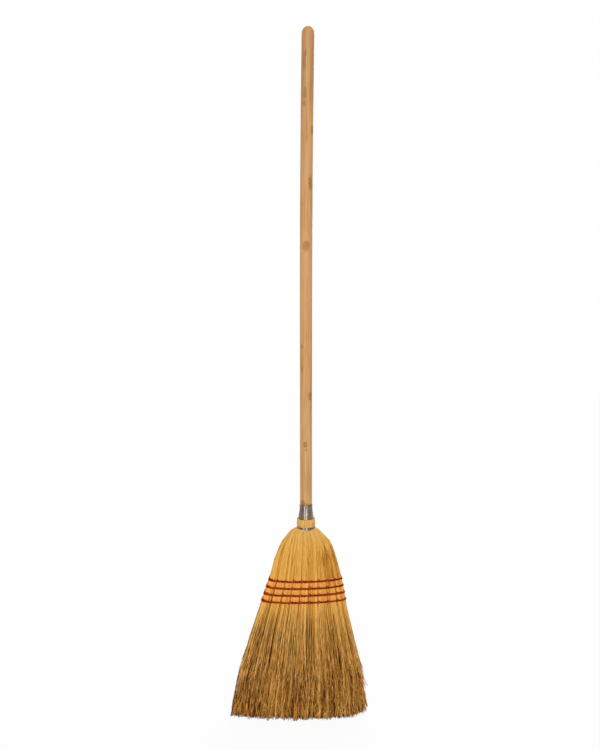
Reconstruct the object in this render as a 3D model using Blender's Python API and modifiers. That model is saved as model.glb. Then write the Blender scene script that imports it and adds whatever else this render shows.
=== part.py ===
"""Straw broom: a wooden handle, a sheet-metal cone and a flat head of stitched straw.

Lengths are in metres and +Z is up. The tips of the straw stand on Z = 0, the origin is
the middle of their footprint, and the front of the broom faces -Y.
"""

import math
import random
from collections import namedtuple

import bmesh
import bpy
from mathutils import Matrix, Vector

MM = 0.001

# Clearances between pieces that touch, and the length by which a cutter runs out
CLEARANCE = 0.3 * MM
CUT_OVERRUN = 2.0 * MM
MERGE_DISTANCE = 0.01 * MM

# The whole broom
BROOM_LENGTH = 1400.0 * MM
HEAD_HEIGHT = 374.4 * MM
LEFT_SPREAD = 152.0 * MM
RIGHT_SPREAD = 121.2 * MM
FOOT_DEPTH = 53.0 * MM

# Wooden handle
HANDLE_R_TOP = 13.2 * MM
HANDLE_R_LOW = 12.2 * MM
HANDLE_FLAT_R = 2.4 * MM
HANDLE_BOW = 4.3 * MM
HANDLE_BOW_LENGTH = 600.0 * MM
HANDLE_TAPER_LENGTH = 60.0 * MM
HANDLE_POINT_R = 1.5 * MM
HANDLE_POINT_GAP = 8.0 * MM
HANDLE_SIDES = 24
HANDLE_DOME_STEPS = 6
HANDLE_BOW_STEPS = 6

# Neck: the straw's groove for the winding, and its cut butts above it
NECK_R = 17.1 * MM
COLLAR_LENGTH = 17.9 * MM
COLLAR_R = 17.9 * MM
BULGE_R = 19.0 * MM
bulge_height_share = 0.38

# Wire winding at the neck
WINDING_WIRE_R = 0.6 * MM
WINDING_PITCH = 1.65 * MM
WINDING_TURNS = 2.5
TURN_POINTS = 24

# Sheet-metal cone
CONE_LENGTH = 27.5 * MM
CONE_TOP_R = 13.4 * MM
CONE_BOTTOM_R = 16.9 * MM
CONE_SKIRT_R = 15.9 * MM
CONE_LIP = 0.4 * MM
CONE_SHEET = 0.4 * MM
CONE_SEAM_RISE = 0.4 * MM
CONE_SIDES = 36
SEAM_ANGLE = math.radians(-90.0)

# Nails through the cone
NAIL_R = 0.8 * MM
NAIL_HEAD_R = 1.7 * MM
NAIL_HEAD_HEIGHT = 0.7 * MM
NAIL_LENGTH = 9.0 * MM
NAIL_DROP = 3.5 * MM
NAIL_SIDES = 10

# Inner straw and the wire that ties it to the handle
INNER_RISE = 14.0 * MM
INNER_LENGTH = 25.0 * MM
INNER_NECK_R = 14.8 * MM
INNER_TIED_R = 13.8 * MM
INNER_SIDES = 24
INNER_WIRE_R = 0.6 * MM
INNER_WIRE_PITCH = 3.0 * MM
INNER_WIRE_TURNS = 2.5
INNER_WIRE_DROP = 7.0 * MM
INNER_TURN_POINTS = 16

# Tufts of straw
TUFTS = 9
TUFT_GAP = 0.5 * MM
MIDDLE_GAP = 0.4 * MM
TUFT_CROWN = 1.5 * MM
CHANNEL_MARGIN = 0.5 * MM
EDGE_POWER = 3.0
edge_depth_share = 0.25

# Shape of the head below the winding, each row from the neck down: height as a share of
# the head's, then how far the left side, the right side and the depth have spread from
# the neck's radius towards the foot's, and how round the head still is.
head_shares = (
    (1.000, 0.000, 0.000, 0.00, 1.00),
    (0.992, 0.120, 0.122, 0.33, 0.95),
    (0.978, 0.165, 0.185, 0.54, 0.80),
    (0.935, 0.247, 0.323, 0.70, 0.45),
    (0.900, 0.292, 0.380, 0.70, 0.30),
    (0.835, 0.361, 0.453, 0.54, 0.10),
    (0.748, 0.423, 0.536, 0.28, 0.00),
    (0.662, 0.508, 0.597, 0.20, 0.00),
    (0.575, 0.580, 0.652, 0.28, 0.00),
    (0.401, 0.732, 0.803, 0.55, 0.00),
    (0.228, 0.881, 0.957, 0.80, 0.00),
    (0.054, 0.984, 1.000, 0.96, 0.00),
    (0.000, 1.000, 1.000, 1.00, 0.00),
)

# Heights at which the shoulder of a tuft is shaped, as shares of the head's
shoulder_shares = (0.992, 0.978, 0.935)

# Strands: each tuft's lower end is a grid of them
STRANDS_ACROSS = 5
STRANDS_DEEP = 4
strand_bend_share = 0.45
strand_straight_share = 0.5
strand_middle_share = 0.66
strand_tip_share = 0.52
strand_sway_share = 0.22
TIP_SCATTER = 6.0 * MM
TIP_CUT = 0.5 * MM
RIGHT_LIFT = 6.0 * MM
lift_start_share = 0.55
SEED = 41

# Stitching
STITCH_ROWS = 4
ROW_FIRST_DROP = 98.4 * MM
ROW_PITCH = 14.0 * MM
ROW_MARGIN = 8.0 * MM
TWINE_R = 1.2 * MM
TWINE_SELF_GAP = 0.6 * MM
TWINE_LIFT = 0.5 * MM
crest_shares = (0.2, 0.5, 0.8)
LEAST_SELF_GAP = 0.4 * MM

# Heights and places that follow from the sizes above
HANDLE_X = (LEFT_SPREAD - RIGHT_SPREAD) / 2
FOOT_HALF_DEPTH = FOOT_DEPTH / 2
WINDING_HEIGHT = WINDING_TURNS * WINDING_PITCH + 2 * WINDING_WIRE_R
GROOVE_TOP_Z = HEAD_HEIGHT + WINDING_HEIGHT + 2 * CLEARANCE
BULGE_Z = GROOVE_TOP_Z + COLLAR_LENGTH * bulge_height_share
COLLAR_TOP_Z = GROOVE_TOP_Z + COLLAR_LENGTH
CONE_BOTTOM_Z = COLLAR_TOP_Z + CLEARANCE
CONE_TOP_Z = CONE_BOTTOM_Z + CONE_LENGTH
SKIRT_END_Z = BULGE_Z + CLEARANCE
NAIL_Z = CONE_TOP_Z - NAIL_DROP
BAND_TOP_Z = HEAD_HEIGHT - ROW_FIRST_DROP + ROW_MARGIN
BAND_BOTTOM_Z = BAND_TOP_Z - 2 * ROW_MARGIN - (STITCH_ROWS - 1) * ROW_PITCH
HANDLE_END_Z = BAND_TOP_Z + HANDLE_POINT_GAP
WAIST_Z = (HEAD_HEIGHT * shoulder_shares[-1] + BAND_TOP_Z) / 2
COLLAR_BORE = CONE_SKIRT_R + CONE_SEAM_RISE + CLEARANCE
NECK_BORE = INNER_NECK_R + CLEARANCE
TIED_BORE = INNER_TIED_R + 2 * INNER_WIRE_R + 2 * CLEARANCE
WAIST_BORE = HANDLE_R_LOW + CHANNEL_MARGIN
STITCH_GAP = 2 * (TWINE_R + TWINE_LIFT)
SEWING_OFFSET = TWINE_R + TWINE_SELF_GAP / 2

Level = namedtuple("Level", "z bore gap left right depth roundness")


def lerp(start, end, share):
    return start + (end - start) * share


def remove_objects():
    for item in list(bpy.data.objects):
        bpy.data.objects.remove(item, do_unlink=True)


def make_collection(name):
    collection = bpy.data.collections.new(name)
    bpy.context.scene.collection.children.link(collection)
    return collection


def make_material(name, color, roughness, metallic=0.0):
    material = bpy.data.materials.new(name)
    material.use_nodes = True
    shader = material.node_tree.nodes["Principled BSDF"]
    shader.inputs["Base Color"].default_value = (*color, 1.0)
    shader.inputs["Roughness"].default_value = roughness
    shader.inputs["Metallic"].default_value = metallic
    return material


def add_object(name, data, collection, material=None):
    item = bpy.data.objects.new(name, data)
    collection.objects.link(item)
    if material:
        item.data.materials.append(material)
    return item


def evaluated_mesh(item):
    """The object's mesh with its modifiers applied, its doubles merged."""
    bpy.context.view_layer.update()
    graph = bpy.context.evaluated_depsgraph_get()
    mesh = bpy.data.meshes.new_from_object(item.evaluated_get(graph))
    bm = bmesh.new()
    bm.from_mesh(mesh)
    bmesh.ops.remove_doubles(bm, verts=bm.verts, dist=MERGE_DISTANCE)
    bm.to_mesh(mesh)
    bm.free()
    return mesh


def turned_mesh(name, profile, sides, collection, closed=False):
    """Turn a profile of (radius, height) points, top to bottom on its outer side."""
    mesh = bpy.data.meshes.new(name)
    points = [(radius, 0.0, height) for radius, height in profile]
    edges = [(index, index + 1) for index in range(len(points) - 1)]
    if closed:
        edges.append((len(points) - 1, 0))
    mesh.from_pydata(points, edges, [])
    guide = add_object(name + "_profile", mesh, collection)
    screw = guide.modifiers.new("Screw", "SCREW")
    screw.steps = sides
    screw.render_steps = sides
    screw.use_merge_vertices = True
    screw.merge_threshold = MERGE_DISTANCE
    turned = evaluated_mesh(guide)
    turned.name = name
    bpy.data.objects.remove(guide, do_unlink=True)
    return turned


def smooth(mesh, angle):
    mesh.shade_smooth()
    mesh.set_sharp_from_angle(angle=math.radians(angle))


def add_tube(name, points, radius, resolution, collection, material):
    """A wire or twine: a poly curve with a round bevel and filled caps."""
    curve = bpy.data.curves.new(name, "CURVE")
    curve.dimensions = "3D"
    curve.bevel_depth = radius
    curve.bevel_resolution = resolution
    curve.use_fill_caps = True
    spline = curve.splines.new("POLY")
    spline.points.add(len(points) - 1)
    for point, place in zip(spline.points, points):
        point.co = (*place, 1.0)
    return add_object(name, curve, collection, material)


def segment_gap(first, second):
    """Least distance between two straight pieces of a route."""
    (a, b), (c, d) = first, second
    along, across, between = b - a, d - c, a - c
    aa, bb, ab = along.dot(along), across.dot(across), along.dot(across)
    ga, gb = along.dot(between), across.dot(between)
    spread = aa * bb - ab * ab
    s = min(max((ab * gb - bb * ga) / spread, 0.0), 1.0) if spread > 0.0 else 0.0
    t = min(max((ab * s + gb) / bb, 0.0), 1.0)
    s = min(max((ab * t - ga) / aa, 0.0), 1.0)
    return (a + along * s - c - across * t).length


def report_self_gap(name, points, radius):
    """Print the least gap between turns of a tube that lie apart along its route."""
    places = [Vector(place) for place in points]
    pieces = list(zip(places, places[1:]))
    lengths = [(end - start).length for start, end in pieces]
    apart = 4 * radius + LEAST_SELF_GAP
    least = None
    for i, piece in enumerate(pieces):
        run = 0.0
        for j in range(i + 1, len(pieces)):
            if run > apart:
                gap = segment_gap(piece, pieces[j]) - 2 * radius
                least = gap if least is None else min(least, gap)
            run += lengths[j]
    print(f"{name}: least gap to itself {least / MM:.2f} mm, wanted {LEAST_SELF_GAP / MM:.2f} mm")


def outline(z):
    """Reach to the left and right of the handle, half depth and roundness of the head."""
    share = min(max(z / HEAD_HEIGHT, 0.0), 1.0)
    for upper, lower in zip(head_shares, head_shares[1:]):
        if share >= lower[0]:
            break
    along = (share - lower[0]) / (upper[0] - lower[0])
    left, right, depth, roundness = (lerp(low, high, along) for low, high in zip(lower[1:], upper[1:]))
    return (
        lerp(NECK_R, LEFT_SPREAD, left),
        lerp(NECK_R, RIGHT_SPREAD, right),
        lerp(NECK_R, FOOT_HALF_DEPTH, depth),
        roundness,
    )


def neck_level(z, bore, radius):
    return Level(z, bore, TUFT_GAP, radius, radius, radius, 1.0)


def head_level(z, bore=0.0, gap=TUFT_GAP):
    return Level(z, bore, gap, *outline(z))


def tuft_levels():
    """Sections of a tuft from its cut butts down to where its strands part."""
    levels = [
        neck_level(COLLAR_TOP_Z, COLLAR_BORE, COLLAR_R),
        neck_level(BULGE_Z, COLLAR_BORE, BULGE_R),
        neck_level(GROOVE_TOP_Z, NECK_BORE, NECK_R),
        neck_level(HEAD_HEIGHT, NECK_BORE, NECK_R),
    ]
    for share in shoulder_shares:
        levels.append(head_level(HEAD_HEIGHT * share, TIED_BORE))
    levels.append(head_level(WAIST_Z, WAIST_BORE))
    levels.append(head_level(BAND_TOP_Z, gap=STITCH_GAP))
    levels.append(head_level(BAND_BOTTOM_Z, gap=STITCH_GAP))
    return levels


def section_point(level, tuft, across, outward):
    """Place in a front tuft at one level, from the handle's axis, depth counted forwards.

    Across runs from 0 at the tuft's left to 1 at its right, and outward from 0 at the
    handle or the middle of the head to 1 at the head's face.
    """
    middle = (level.right - level.left) / 2
    half_width = (level.right + level.left) / 2
    spread = lerp(half_width, level.bore * math.pi / 2, level.roundness)
    inset = level.gap / 2 / spread
    low = 2 * tuft / TUFTS - 1 + (inset if tuft > 0 else 0.0)
    high = 2 * (tuft + 1) / TUFTS - 1 - (inset if tuft < TUFTS - 1 else 0.0)
    place = lerp(low, high, across)
    angle = place * math.pi / 2

    flat_x = middle + half_width * place
    flat_y = level.depth * lerp(edge_depth_share, 1.0, (1.0 - abs(place) ** EDGE_POWER) ** (1 / EDGE_POWER))
    outer_x = lerp(flat_x, middle + half_width * math.sin(angle), level.roundness)
    outer_y = lerp(flat_y, level.depth * math.cos(angle), level.roundness)
    outer_y += TUFT_CROWN * 4 * across * (1.0 - across) * (1.0 - level.roundness)

    channel_y = math.sqrt(max(level.bore ** 2 - flat_x ** 2, 0.0))
    inner_x = lerp(flat_x, level.bore * math.sin(angle), level.roundness)
    inner_y = lerp(channel_y, level.bore * math.cos(angle), level.roundness)
    reach = math.hypot(inner_x, inner_y)
    if 0.0 < reach < level.bore:
        inner_x *= level.bore / reach
        inner_y *= level.bore / reach

    return (
        lerp(inner_x, outer_x, outward),
        lerp(inner_y, outer_y, outward) + MIDDLE_GAP / 2,
    )


def make_handle(collection, cutters, material):
    """The turned stick: domed end, slight bow, and a point buried in the straw."""
    top = BROOM_LENGTH
    dome_base = top - HANDLE_R_TOP
    taper_top = HANDLE_END_Z + HANDLE_TAPER_LENGTH
    bow_base = top - HANDLE_BOW_LENGTH
    profile = [(0.0, top)]
    for step in range(HANDLE_DOME_STEPS):
        share = step / HANDLE_DOME_STEPS
        radius = lerp(HANDLE_FLAT_R, HANDLE_R_TOP, math.sin(share * math.pi / 2))
        profile.append((radius, dome_base + HANDLE_R_TOP * math.cos(share * math.pi / 2)))
    for step in range(HANDLE_BOW_STEPS + 1):
        share = step / HANDLE_BOW_STEPS
        z = lerp(dome_base, bow_base, share)
        radius = lerp(HANDLE_R_LOW, HANDLE_R_TOP, (z - CONE_TOP_Z) / (dome_base - CONE_TOP_Z))
        profile.append((radius, z))
    profile.append((HANDLE_R_LOW, CONE_TOP_Z))
    profile.append((HANDLE_R_LOW, taper_top))
    profile.append((HANDLE_POINT_R, HANDLE_END_Z))
    profile.append((0.0, HANDLE_END_Z))

    mesh = turned_mesh("handle", profile, HANDLE_SIDES, cutters)
    for vertex in mesh.vertices:
        rise = max(vertex.co.z - bow_base, 0.0) / HANDLE_BOW_LENGTH
        vertex.co.x += HANDLE_BOW * rise ** 2
    smooth(mesh, 40.0)
    handle = add_object("handle", mesh, collection, material)
    handle.location.x = HANDLE_X
    return handle


def cone_radius(z):
    return lerp(CONE_BOTTOM_R, CONE_TOP_R, (z - CONE_BOTTOM_Z) / CONE_LENGTH)


def make_cone(collection, cutters, material):
    """The sheet-metal cone, its skirt tucked under the straw and its seam at the front."""
    ledge = CONE_BOTTOM_Z + CONE_LIP
    profile = [
        (CONE_TOP_R, CONE_TOP_Z),
        (CONE_BOTTOM_R, ledge),
        (CONE_BOTTOM_R - CONE_LIP, CONE_BOTTOM_Z),
        (CONE_SKIRT_R, CONE_BOTTOM_Z),
        (CONE_SKIRT_R, SKIRT_END_Z),
        (CONE_SKIRT_R - CONE_SHEET, SKIRT_END_Z),
        (CONE_SKIRT_R - CONE_SHEET, ledge),
        (CONE_BOTTOM_R - CONE_LIP - CONE_SHEET, ledge + CONE_SHEET),
        (CONE_TOP_R - CONE_SHEET, CONE_TOP_Z),
    ]
    mesh = turned_mesh("cone", profile, CONE_SIDES, cutters, closed=True)
    seam_half = math.pi / CONE_SIDES * 1.5
    for vertex in mesh.vertices:
        radius = math.hypot(vertex.co.x, vertex.co.y)
        turn = math.atan2(vertex.co.y, vertex.co.x) - SEAM_ANGLE
        wall = cone_radius(vertex.co.z) if vertex.co.z > CONE_BOTTOM_Z + MERGE_DISTANCE else CONE_SKIRT_R
        if abs(turn) < seam_half and radius > wall - CONE_SHEET / 2:
            vertex.co.x *= (radius + CONE_SEAM_RISE) / radius
            vertex.co.y *= (radius + CONE_SEAM_RISE) / radius
    smooth(mesh, 30.0)
    cone = add_object("cone", mesh, collection, material)
    cone.location.x = HANDLE_X
    return cone


def make_nail(name, facing, collection, cutters, material, holed):
    """A flat-headed nail driven through the cone into the handle, and its hole."""
    profile = [
        (0.0, NAIL_HEAD_HEIGHT),
        (NAIL_HEAD_R, NAIL_HEAD_HEIGHT),
        (NAIL_HEAD_R, 0.0),
        (NAIL_R, 0.0),
        (NAIL_R, -NAIL_LENGTH + NAIL_R),
        (0.0, -NAIL_LENGTH),
    ]
    mesh = turned_mesh(name, profile, NAIL_SIDES, cutters)
    smooth(mesh, 40.0)
    nail = add_object(name, mesh, collection, material)
    seat = cone_radius(NAIL_Z - NAIL_HEAD_R) + CONE_SEAM_RISE + CLEARANCE
    nail.matrix_world = (
        Matrix.Translation((HANDLE_X, facing * seat, NAIL_Z))
        @ Matrix.Rotation(-facing * math.pi / 2, 4, "X")
    )

    hole_r = NAIL_R + CLEARANCE
    hole_end = seat - NAIL_LENGTH - CLEARANCE
    hole_start = seat + CUT_OVERRUN
    bpy.ops.mesh.primitive_cylinder_add(
        vertices=NAIL_SIDES,
        radius=hole_r,
        depth=hole_start - hole_end,
        location=(HANDLE_X, facing * (hole_start + hole_end) / 2, NAIL_Z),
        rotation=(math.pi / 2, 0.0, 0.0),
    )
    hole = bpy.context.object
    hole.name = name + "_hole"
    hole.display_type = "WIRE"
    hole.hide_render = True
    for owner in list(hole.users_collection):
        owner.objects.unlink(hole)
    cutters.objects.link(hole)
    for item in holed:
        cut = item.modifiers.new("Nail hole", "BOOLEAN")
        cut.operation = "DIFFERENCE"
        cut.object = hole
    return nail


def make_inner_straw(collection, cutters, material):
    """The first straw laid round the handle, its butts under the cone."""
    top = CONE_BOTTOM_Z + INNER_RISE
    bore = HANDLE_R_LOW + CLEARANCE
    skirt_r = CONE_SKIRT_R - CONE_SHEET - CLEARANCE
    tied_top = HEAD_HEIGHT - INNER_WIRE_DROP / 2
    end = HEAD_HEIGHT - INNER_LENGTH
    profile = [
        (cone_radius(top) - CONE_SHEET - 2 * CLEARANCE, top),
        (skirt_r, CONE_BOTTOM_Z),
        (skirt_r, SKIRT_END_Z),
        (INNER_NECK_R, GROOVE_TOP_Z),
        (INNER_NECK_R, HEAD_HEIGHT),
        (INNER_TIED_R, tied_top),
        (INNER_TIED_R, end),
        (bore, end),
        (bore, top),
    ]
    mesh = turned_mesh("inner_straw", profile, INNER_SIDES, cutters, closed=True)
    smooth(mesh, 40.0)
    straw = add_object("inner_straw", mesh, collection, material)
    straw.location.x = HANDLE_X
    return straw


def helix(radius, low, turns, pitch, turn_points):
    """Points of a winding round the handle's axis, upwards from a height."""
    count = round(turns * turn_points)
    points = []
    for step in range(count + 1):
        turn = 2 * math.pi * step / turn_points
        points.append((
            HANDLE_X + radius * math.cos(turn),
            radius * math.sin(turn),
            low + pitch * step / turn_points,
        ))
    return points


def make_windings(collection, material):
    """The hidden wire round the inner straw and the wire that binds the neck."""
    low = HEAD_HEIGHT - INNER_WIRE_DROP - INNER_WIRE_TURNS * INNER_WIRE_PITCH
    radius = INNER_TIED_R + CLEARANCE + INNER_WIRE_R
    points = helix(radius, low, INNER_WIRE_TURNS, INNER_WIRE_PITCH, INNER_TURN_POINTS)
    report_self_gap("inner_wire", points, INNER_WIRE_R)
    add_tube("inner_wire", points, INNER_WIRE_R, 0, collection, material)

    radius = NECK_R + MIDDLE_GAP / 2 + CLEARANCE + WINDING_WIRE_R
    low = HEAD_HEIGHT + CLEARANCE + WINDING_WIRE_R
    points = helix(radius, low, WINDING_TURNS, WINDING_PITCH, TURN_POINTS)
    report_self_gap("neck_winding", points, WINDING_WIRE_R)
    add_tube("neck_winding", points, WINDING_WIRE_R, 1, collection, material)


def place_tuft_vertices(vertices, places, level, tuft, side):
    for vertex in vertices:
        x, y = section_point(level, tuft, *places[vertex])
        vertex.co = (HANDLE_X + x, side * y, level.z)


def face_places(face, layers):
    return [(vertex[layers[0]], vertex[layers[1]]) for vertex in face.verts]


def place_strand_end(face, layers, z, size_share, sway, tuft, side):
    """Shrink one cell of the tuft's grid about its middle, at a height of its own."""
    places = face_places(face, layers)
    middle = [sum(values) / len(places) for values in zip(*places)]
    level = head_level(z)
    for vertex, place in zip(face.verts, places):
        across, outward = (
            center + (value - center) * size_share + shift
            for value, center, shift in zip(place, middle, sway)
        )
        x, y = section_point(level, tuft, across, outward)
        vertex.co = (HANDLE_X + x, side * y, z)


def tip_height(across_head, chance):
    """Height of a strand's tip: uneven, cut flat at the floor, higher at the right."""
    low = lerp(-TIP_CUT, TIP_SCATTER, chance.random() ** 2)
    worn = max(across_head - lift_start_share, 0.0) / (1.0 - lift_start_share)
    return max(low, 0.0) + RIGHT_LIFT * worn ** 2


def add_strands(bm, faces, layers, tuft, side, chance):
    """Draw each cell of the tuft's lower end down into one tapering strand."""
    across_layer, outward_layer = layers
    outer, inner = [], []
    for face in faces:
        outward = sum(vertex[outward_layer] for vertex in face.verts) / len(face.verts)
        (outer if outward > strand_straight_share else inner).append(face)

    bent = bmesh.ops.extrude_discrete_faces(bm, faces=outer)["faces"]
    for face in bent:
        place_strand_end(
            face, layers, BAND_BOTTOM_Z * strand_bend_share, strand_middle_share, (0.0, 0.0), tuft, side
        )

    tips = bmesh.ops.extrude_discrete_faces(bm, faces=bent + inner)["faces"]
    for face in tips:
        across = sum(vertex[across_layer] for vertex in face.verts) / len(face.verts)
        across_head = 2 * (tuft + across) / TUFTS - 1
        sway = (
            chance.uniform(-1.0, 1.0) * strand_sway_share / STRANDS_ACROSS,
            chance.uniform(-1.0, 1.0) * strand_sway_share / STRANDS_DEEP,
        )
        z = tip_height(across_head, chance)
        place_strand_end(face, layers, z, strand_tip_share, sway, tuft, side)


def make_tuft(name, tuft, side, collection, material):
    """One tuft: a grid drawn down through its sections, then parted into strands."""
    bm = bmesh.new()
    bmesh.ops.create_grid(bm, x_segments=STRANDS_ACROSS, y_segments=STRANDS_DEEP, size=1.0)
    layers = (bm.verts.layers.float.new("across"), bm.verts.layers.float.new("outward"))
    for vertex in bm.verts:
        vertex[layers[0]] = (vertex.co.x + 1.0) / 2
        vertex[layers[1]] = (vertex.co.y + 1.0) / 2

    faces = bm.faces[:]
    for index, level in enumerate(tuft_levels()):
        if index:
            drawn = bmesh.ops.extrude_face_region(bm, geom=faces)["geom"]
            if index > 1:
                bmesh.ops.delete(bm, geom=faces, context="FACES")
            faces = [item for item in drawn if isinstance(item, bmesh.types.BMFace)]
        ring = {vertex for face in faces for vertex in face.verts}
        places = {vertex: (vertex[layers[0]], vertex[layers[1]]) for vertex in ring}
        place_tuft_vertices(ring, places, level, tuft, side)

    add_strands(bm, faces, layers, tuft, side, random.Random(f"{SEED} {name}"))
    bmesh.ops.recalc_face_normals(bm, faces=bm.faces)
    # The shorter diagonal is the same on both sides of a gap, so twisted faces stay apart
    bmesh.ops.triangulate(bm, faces=bm.faces, quad_method="SHORT_EDGE")
    mesh = bpy.data.meshes.new(name)
    bm.to_mesh(mesh)
    bm.free()
    smooth(mesh, 35.0)
    return add_object(name, mesh, collection, material)


def make_straw(collection, material):
    for tuft in range(TUFTS):
        make_tuft(f"straw_front_{tuft + 1}", tuft, -1, collection, material)
        make_tuft(f"straw_back_{tuft + 1}", tuft, 1, collection, material)


def face_point(tuft, across, z):
    """Place on the face of the stitched band, which is straight between its two levels."""
    upper = head_level(BAND_TOP_Z, gap=STITCH_GAP)
    lower = head_level(BAND_BOTTOM_Z, gap=STITCH_GAP)
    share = (z - BAND_BOTTOM_Z) / (BAND_TOP_Z - BAND_BOTTOM_Z)
    high = section_point(upper, tuft, across, 1.0)
    low = section_point(lower, tuft, across, 1.0)
    return Vector((lerp(low[0], high[0], share), lerp(low[1], high[1], share)))


def lifted_point(tuft, across, z):
    """Place of the twine's middle where it lies on a tuft's face."""
    before = face_point(tuft, max(across - 1 / STRANDS_ACROSS, 0.0), z)
    after = face_point(tuft, min(across + 1 / STRANDS_ACROSS, 1.0), z)
    run = (after - before).normalized()
    return face_point(tuft, across, z) + Vector((-run.y, run.x)) * (TWINE_R + TWINE_LIFT)


def gap_point(gap, z):
    """Place of the twine's middle over the gap to the right of a tuft."""
    left = face_point(gap, 1.0, z)
    right = face_point(gap + 1, 0.0, z)
    return Vector(((left.x + right.x) / 2, max(left.y, right.y) + TWINE_R + TWINE_LIFT))


def stitch_route(row_z):
    """One twine sewn over and under the tufts to the right, and back in the free places.

    On its way out it passes every gap above the row's line and on its way back below it,
    so each tuft is crossed once at the front and once at the back.
    """
    points = []

    def cross(tuft, side, offset, backwards):
        shares = crest_shares[::-1] if backwards else crest_shares
        for share in shares:
            z = row_z + offset * abs(2 * share - 1)
            place = lifted_point(tuft, share, z)
            points.append((place.x, side * place.y, z))

    def pass_gap(gap, side, offset):
        z = row_z + offset
        place = gap_point(gap, z)
        points.append((place.x, side * place.y, z))
        points.append((place.x, -side * place.y, z))

    def round_end(tuft, across, outward, side, offset, depth_shares):
        z = row_z + offset
        place = face_point(tuft, across, z)
        for share in depth_shares:
            points.append((place.x + outward * (TWINE_R + TWINE_LIFT), side * place.y * share, z))

    side = -1
    round_end(0, 0.0, -1.0, side, SEWING_OFFSET, (0.0, 1.0))
    for tuft in range(TUFTS):
        cross(tuft, side, SEWING_OFFSET, False)
        if tuft < TUFTS - 1:
            pass_gap(tuft, side, SEWING_OFFSET)
            side = -side
    round_end(TUFTS - 1, 1.0, 1.0, side, 0.0, (1.0, -1.0))
    side = -side
    for tuft in reversed(range(TUFTS)):
        cross(tuft, side, -SEWING_OFFSET, True)
        if tuft:
            pass_gap(tuft - 1, side, -SEWING_OFFSET)
            side = -side
    round_end(0, 0.0, -1.0, side, -SEWING_OFFSET, (1.0, 0.0))
    return [(HANDLE_X + x, y, z) for x, y, z in points]


def make_stitching(collection, material):
    for row in range(STITCH_ROWS):
        name = f"stitch_row_{row + 1}"
        points = stitch_route(HEAD_HEIGHT - ROW_FIRST_DROP - row * ROW_PITCH)
        report_self_gap(name, points, TWINE_R)
        add_tube(name, points, TWINE_R, 0, collection, material)


def main():
    remove_objects()
    broom = make_collection("straw_broom")
    cutters = make_collection("cutters")

    wood = make_material("handle_wood", (0.58, 0.37, 0.19), 0.45)
    tin = make_material("tinned_sheet", (0.42, 0.40, 0.37), 0.35, 1.0)
    wire = make_material("galvanised_wire", (0.50, 0.49, 0.46), 0.35, 1.0)
    straw = make_material("straw", (0.62, 0.36, 0.10), 0.75)
    twine = make_material("red_twine", (0.42, 0.03, 0.01), 0.80)

    handle = make_handle(broom, cutters, wood)
    cone = make_cone(broom, cutters, tin)
    make_nail("cone_nail_front", -1, broom, cutters, wire, (handle, cone))
    make_nail("cone_nail_back", 1, broom, cutters, wire, (handle, cone))
    make_inner_straw(broom, cutters, straw)
    make_windings(broom, wire)
    make_straw(broom, straw)
    make_stitching(broom, twine)


main()
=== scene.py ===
import math

import bpy
import numpy as np
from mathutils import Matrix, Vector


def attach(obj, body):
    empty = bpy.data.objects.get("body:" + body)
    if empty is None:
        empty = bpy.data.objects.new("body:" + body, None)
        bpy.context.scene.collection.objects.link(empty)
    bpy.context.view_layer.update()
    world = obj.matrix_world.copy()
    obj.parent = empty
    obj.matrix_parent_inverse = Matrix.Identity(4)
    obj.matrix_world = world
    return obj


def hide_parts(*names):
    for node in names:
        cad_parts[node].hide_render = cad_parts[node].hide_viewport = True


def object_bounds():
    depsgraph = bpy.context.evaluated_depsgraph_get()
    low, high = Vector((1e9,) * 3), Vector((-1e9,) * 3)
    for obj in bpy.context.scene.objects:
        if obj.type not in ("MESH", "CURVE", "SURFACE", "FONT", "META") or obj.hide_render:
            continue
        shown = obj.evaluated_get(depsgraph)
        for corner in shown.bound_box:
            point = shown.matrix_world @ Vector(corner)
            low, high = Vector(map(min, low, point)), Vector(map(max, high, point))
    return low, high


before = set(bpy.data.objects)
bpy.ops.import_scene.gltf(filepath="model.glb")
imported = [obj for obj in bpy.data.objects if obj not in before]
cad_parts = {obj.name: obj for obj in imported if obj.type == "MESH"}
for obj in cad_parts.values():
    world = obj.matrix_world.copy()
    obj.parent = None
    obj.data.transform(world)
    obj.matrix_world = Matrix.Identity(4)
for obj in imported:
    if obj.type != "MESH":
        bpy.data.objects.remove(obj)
cad_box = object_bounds()

# Handle: one turned softwood stick, bare and darkened by hands, with a domed end. It is
# pushed into the straw and held by the cone's two nails.
MM = 0.001
HANDLE_X = 15.4 * MM
HANDLE_R = 12.6 * MM
HANDLE_TOP = 1.4
WOOD_PALE = (0.635, 0.36, 0.155)
WOOD_WARM = (0.485, 0.242, 0.07)
WOOD_PINK = (0.59, 0.327, 0.175)
WOOD_GRAIN = (0.35, 0.16, 0.044)
WOOD_KNOT = (0.25, 0.098, 0.008)
WOOD_SCAR = (0.21, 0.07, 0.004)
# Tint by height, in metres: paler near the straw, yellower in the middle, grubby above
WOOD_TINTS = (
    (0.5, (1, 1, 1)),
    (0.7, (0.97, 0.92, 0.82)),
    (1.19, (0.97, 0.92, 0.81)),
    (1.25, (0.82, 0.76, 0.66)),
)
GRAIN_SCALE = 260.0
GRAIN_STRETCH = 0.035
TINT_SCALE = 24.0
MARK_FUZZ_SCALE = 330.0
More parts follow.
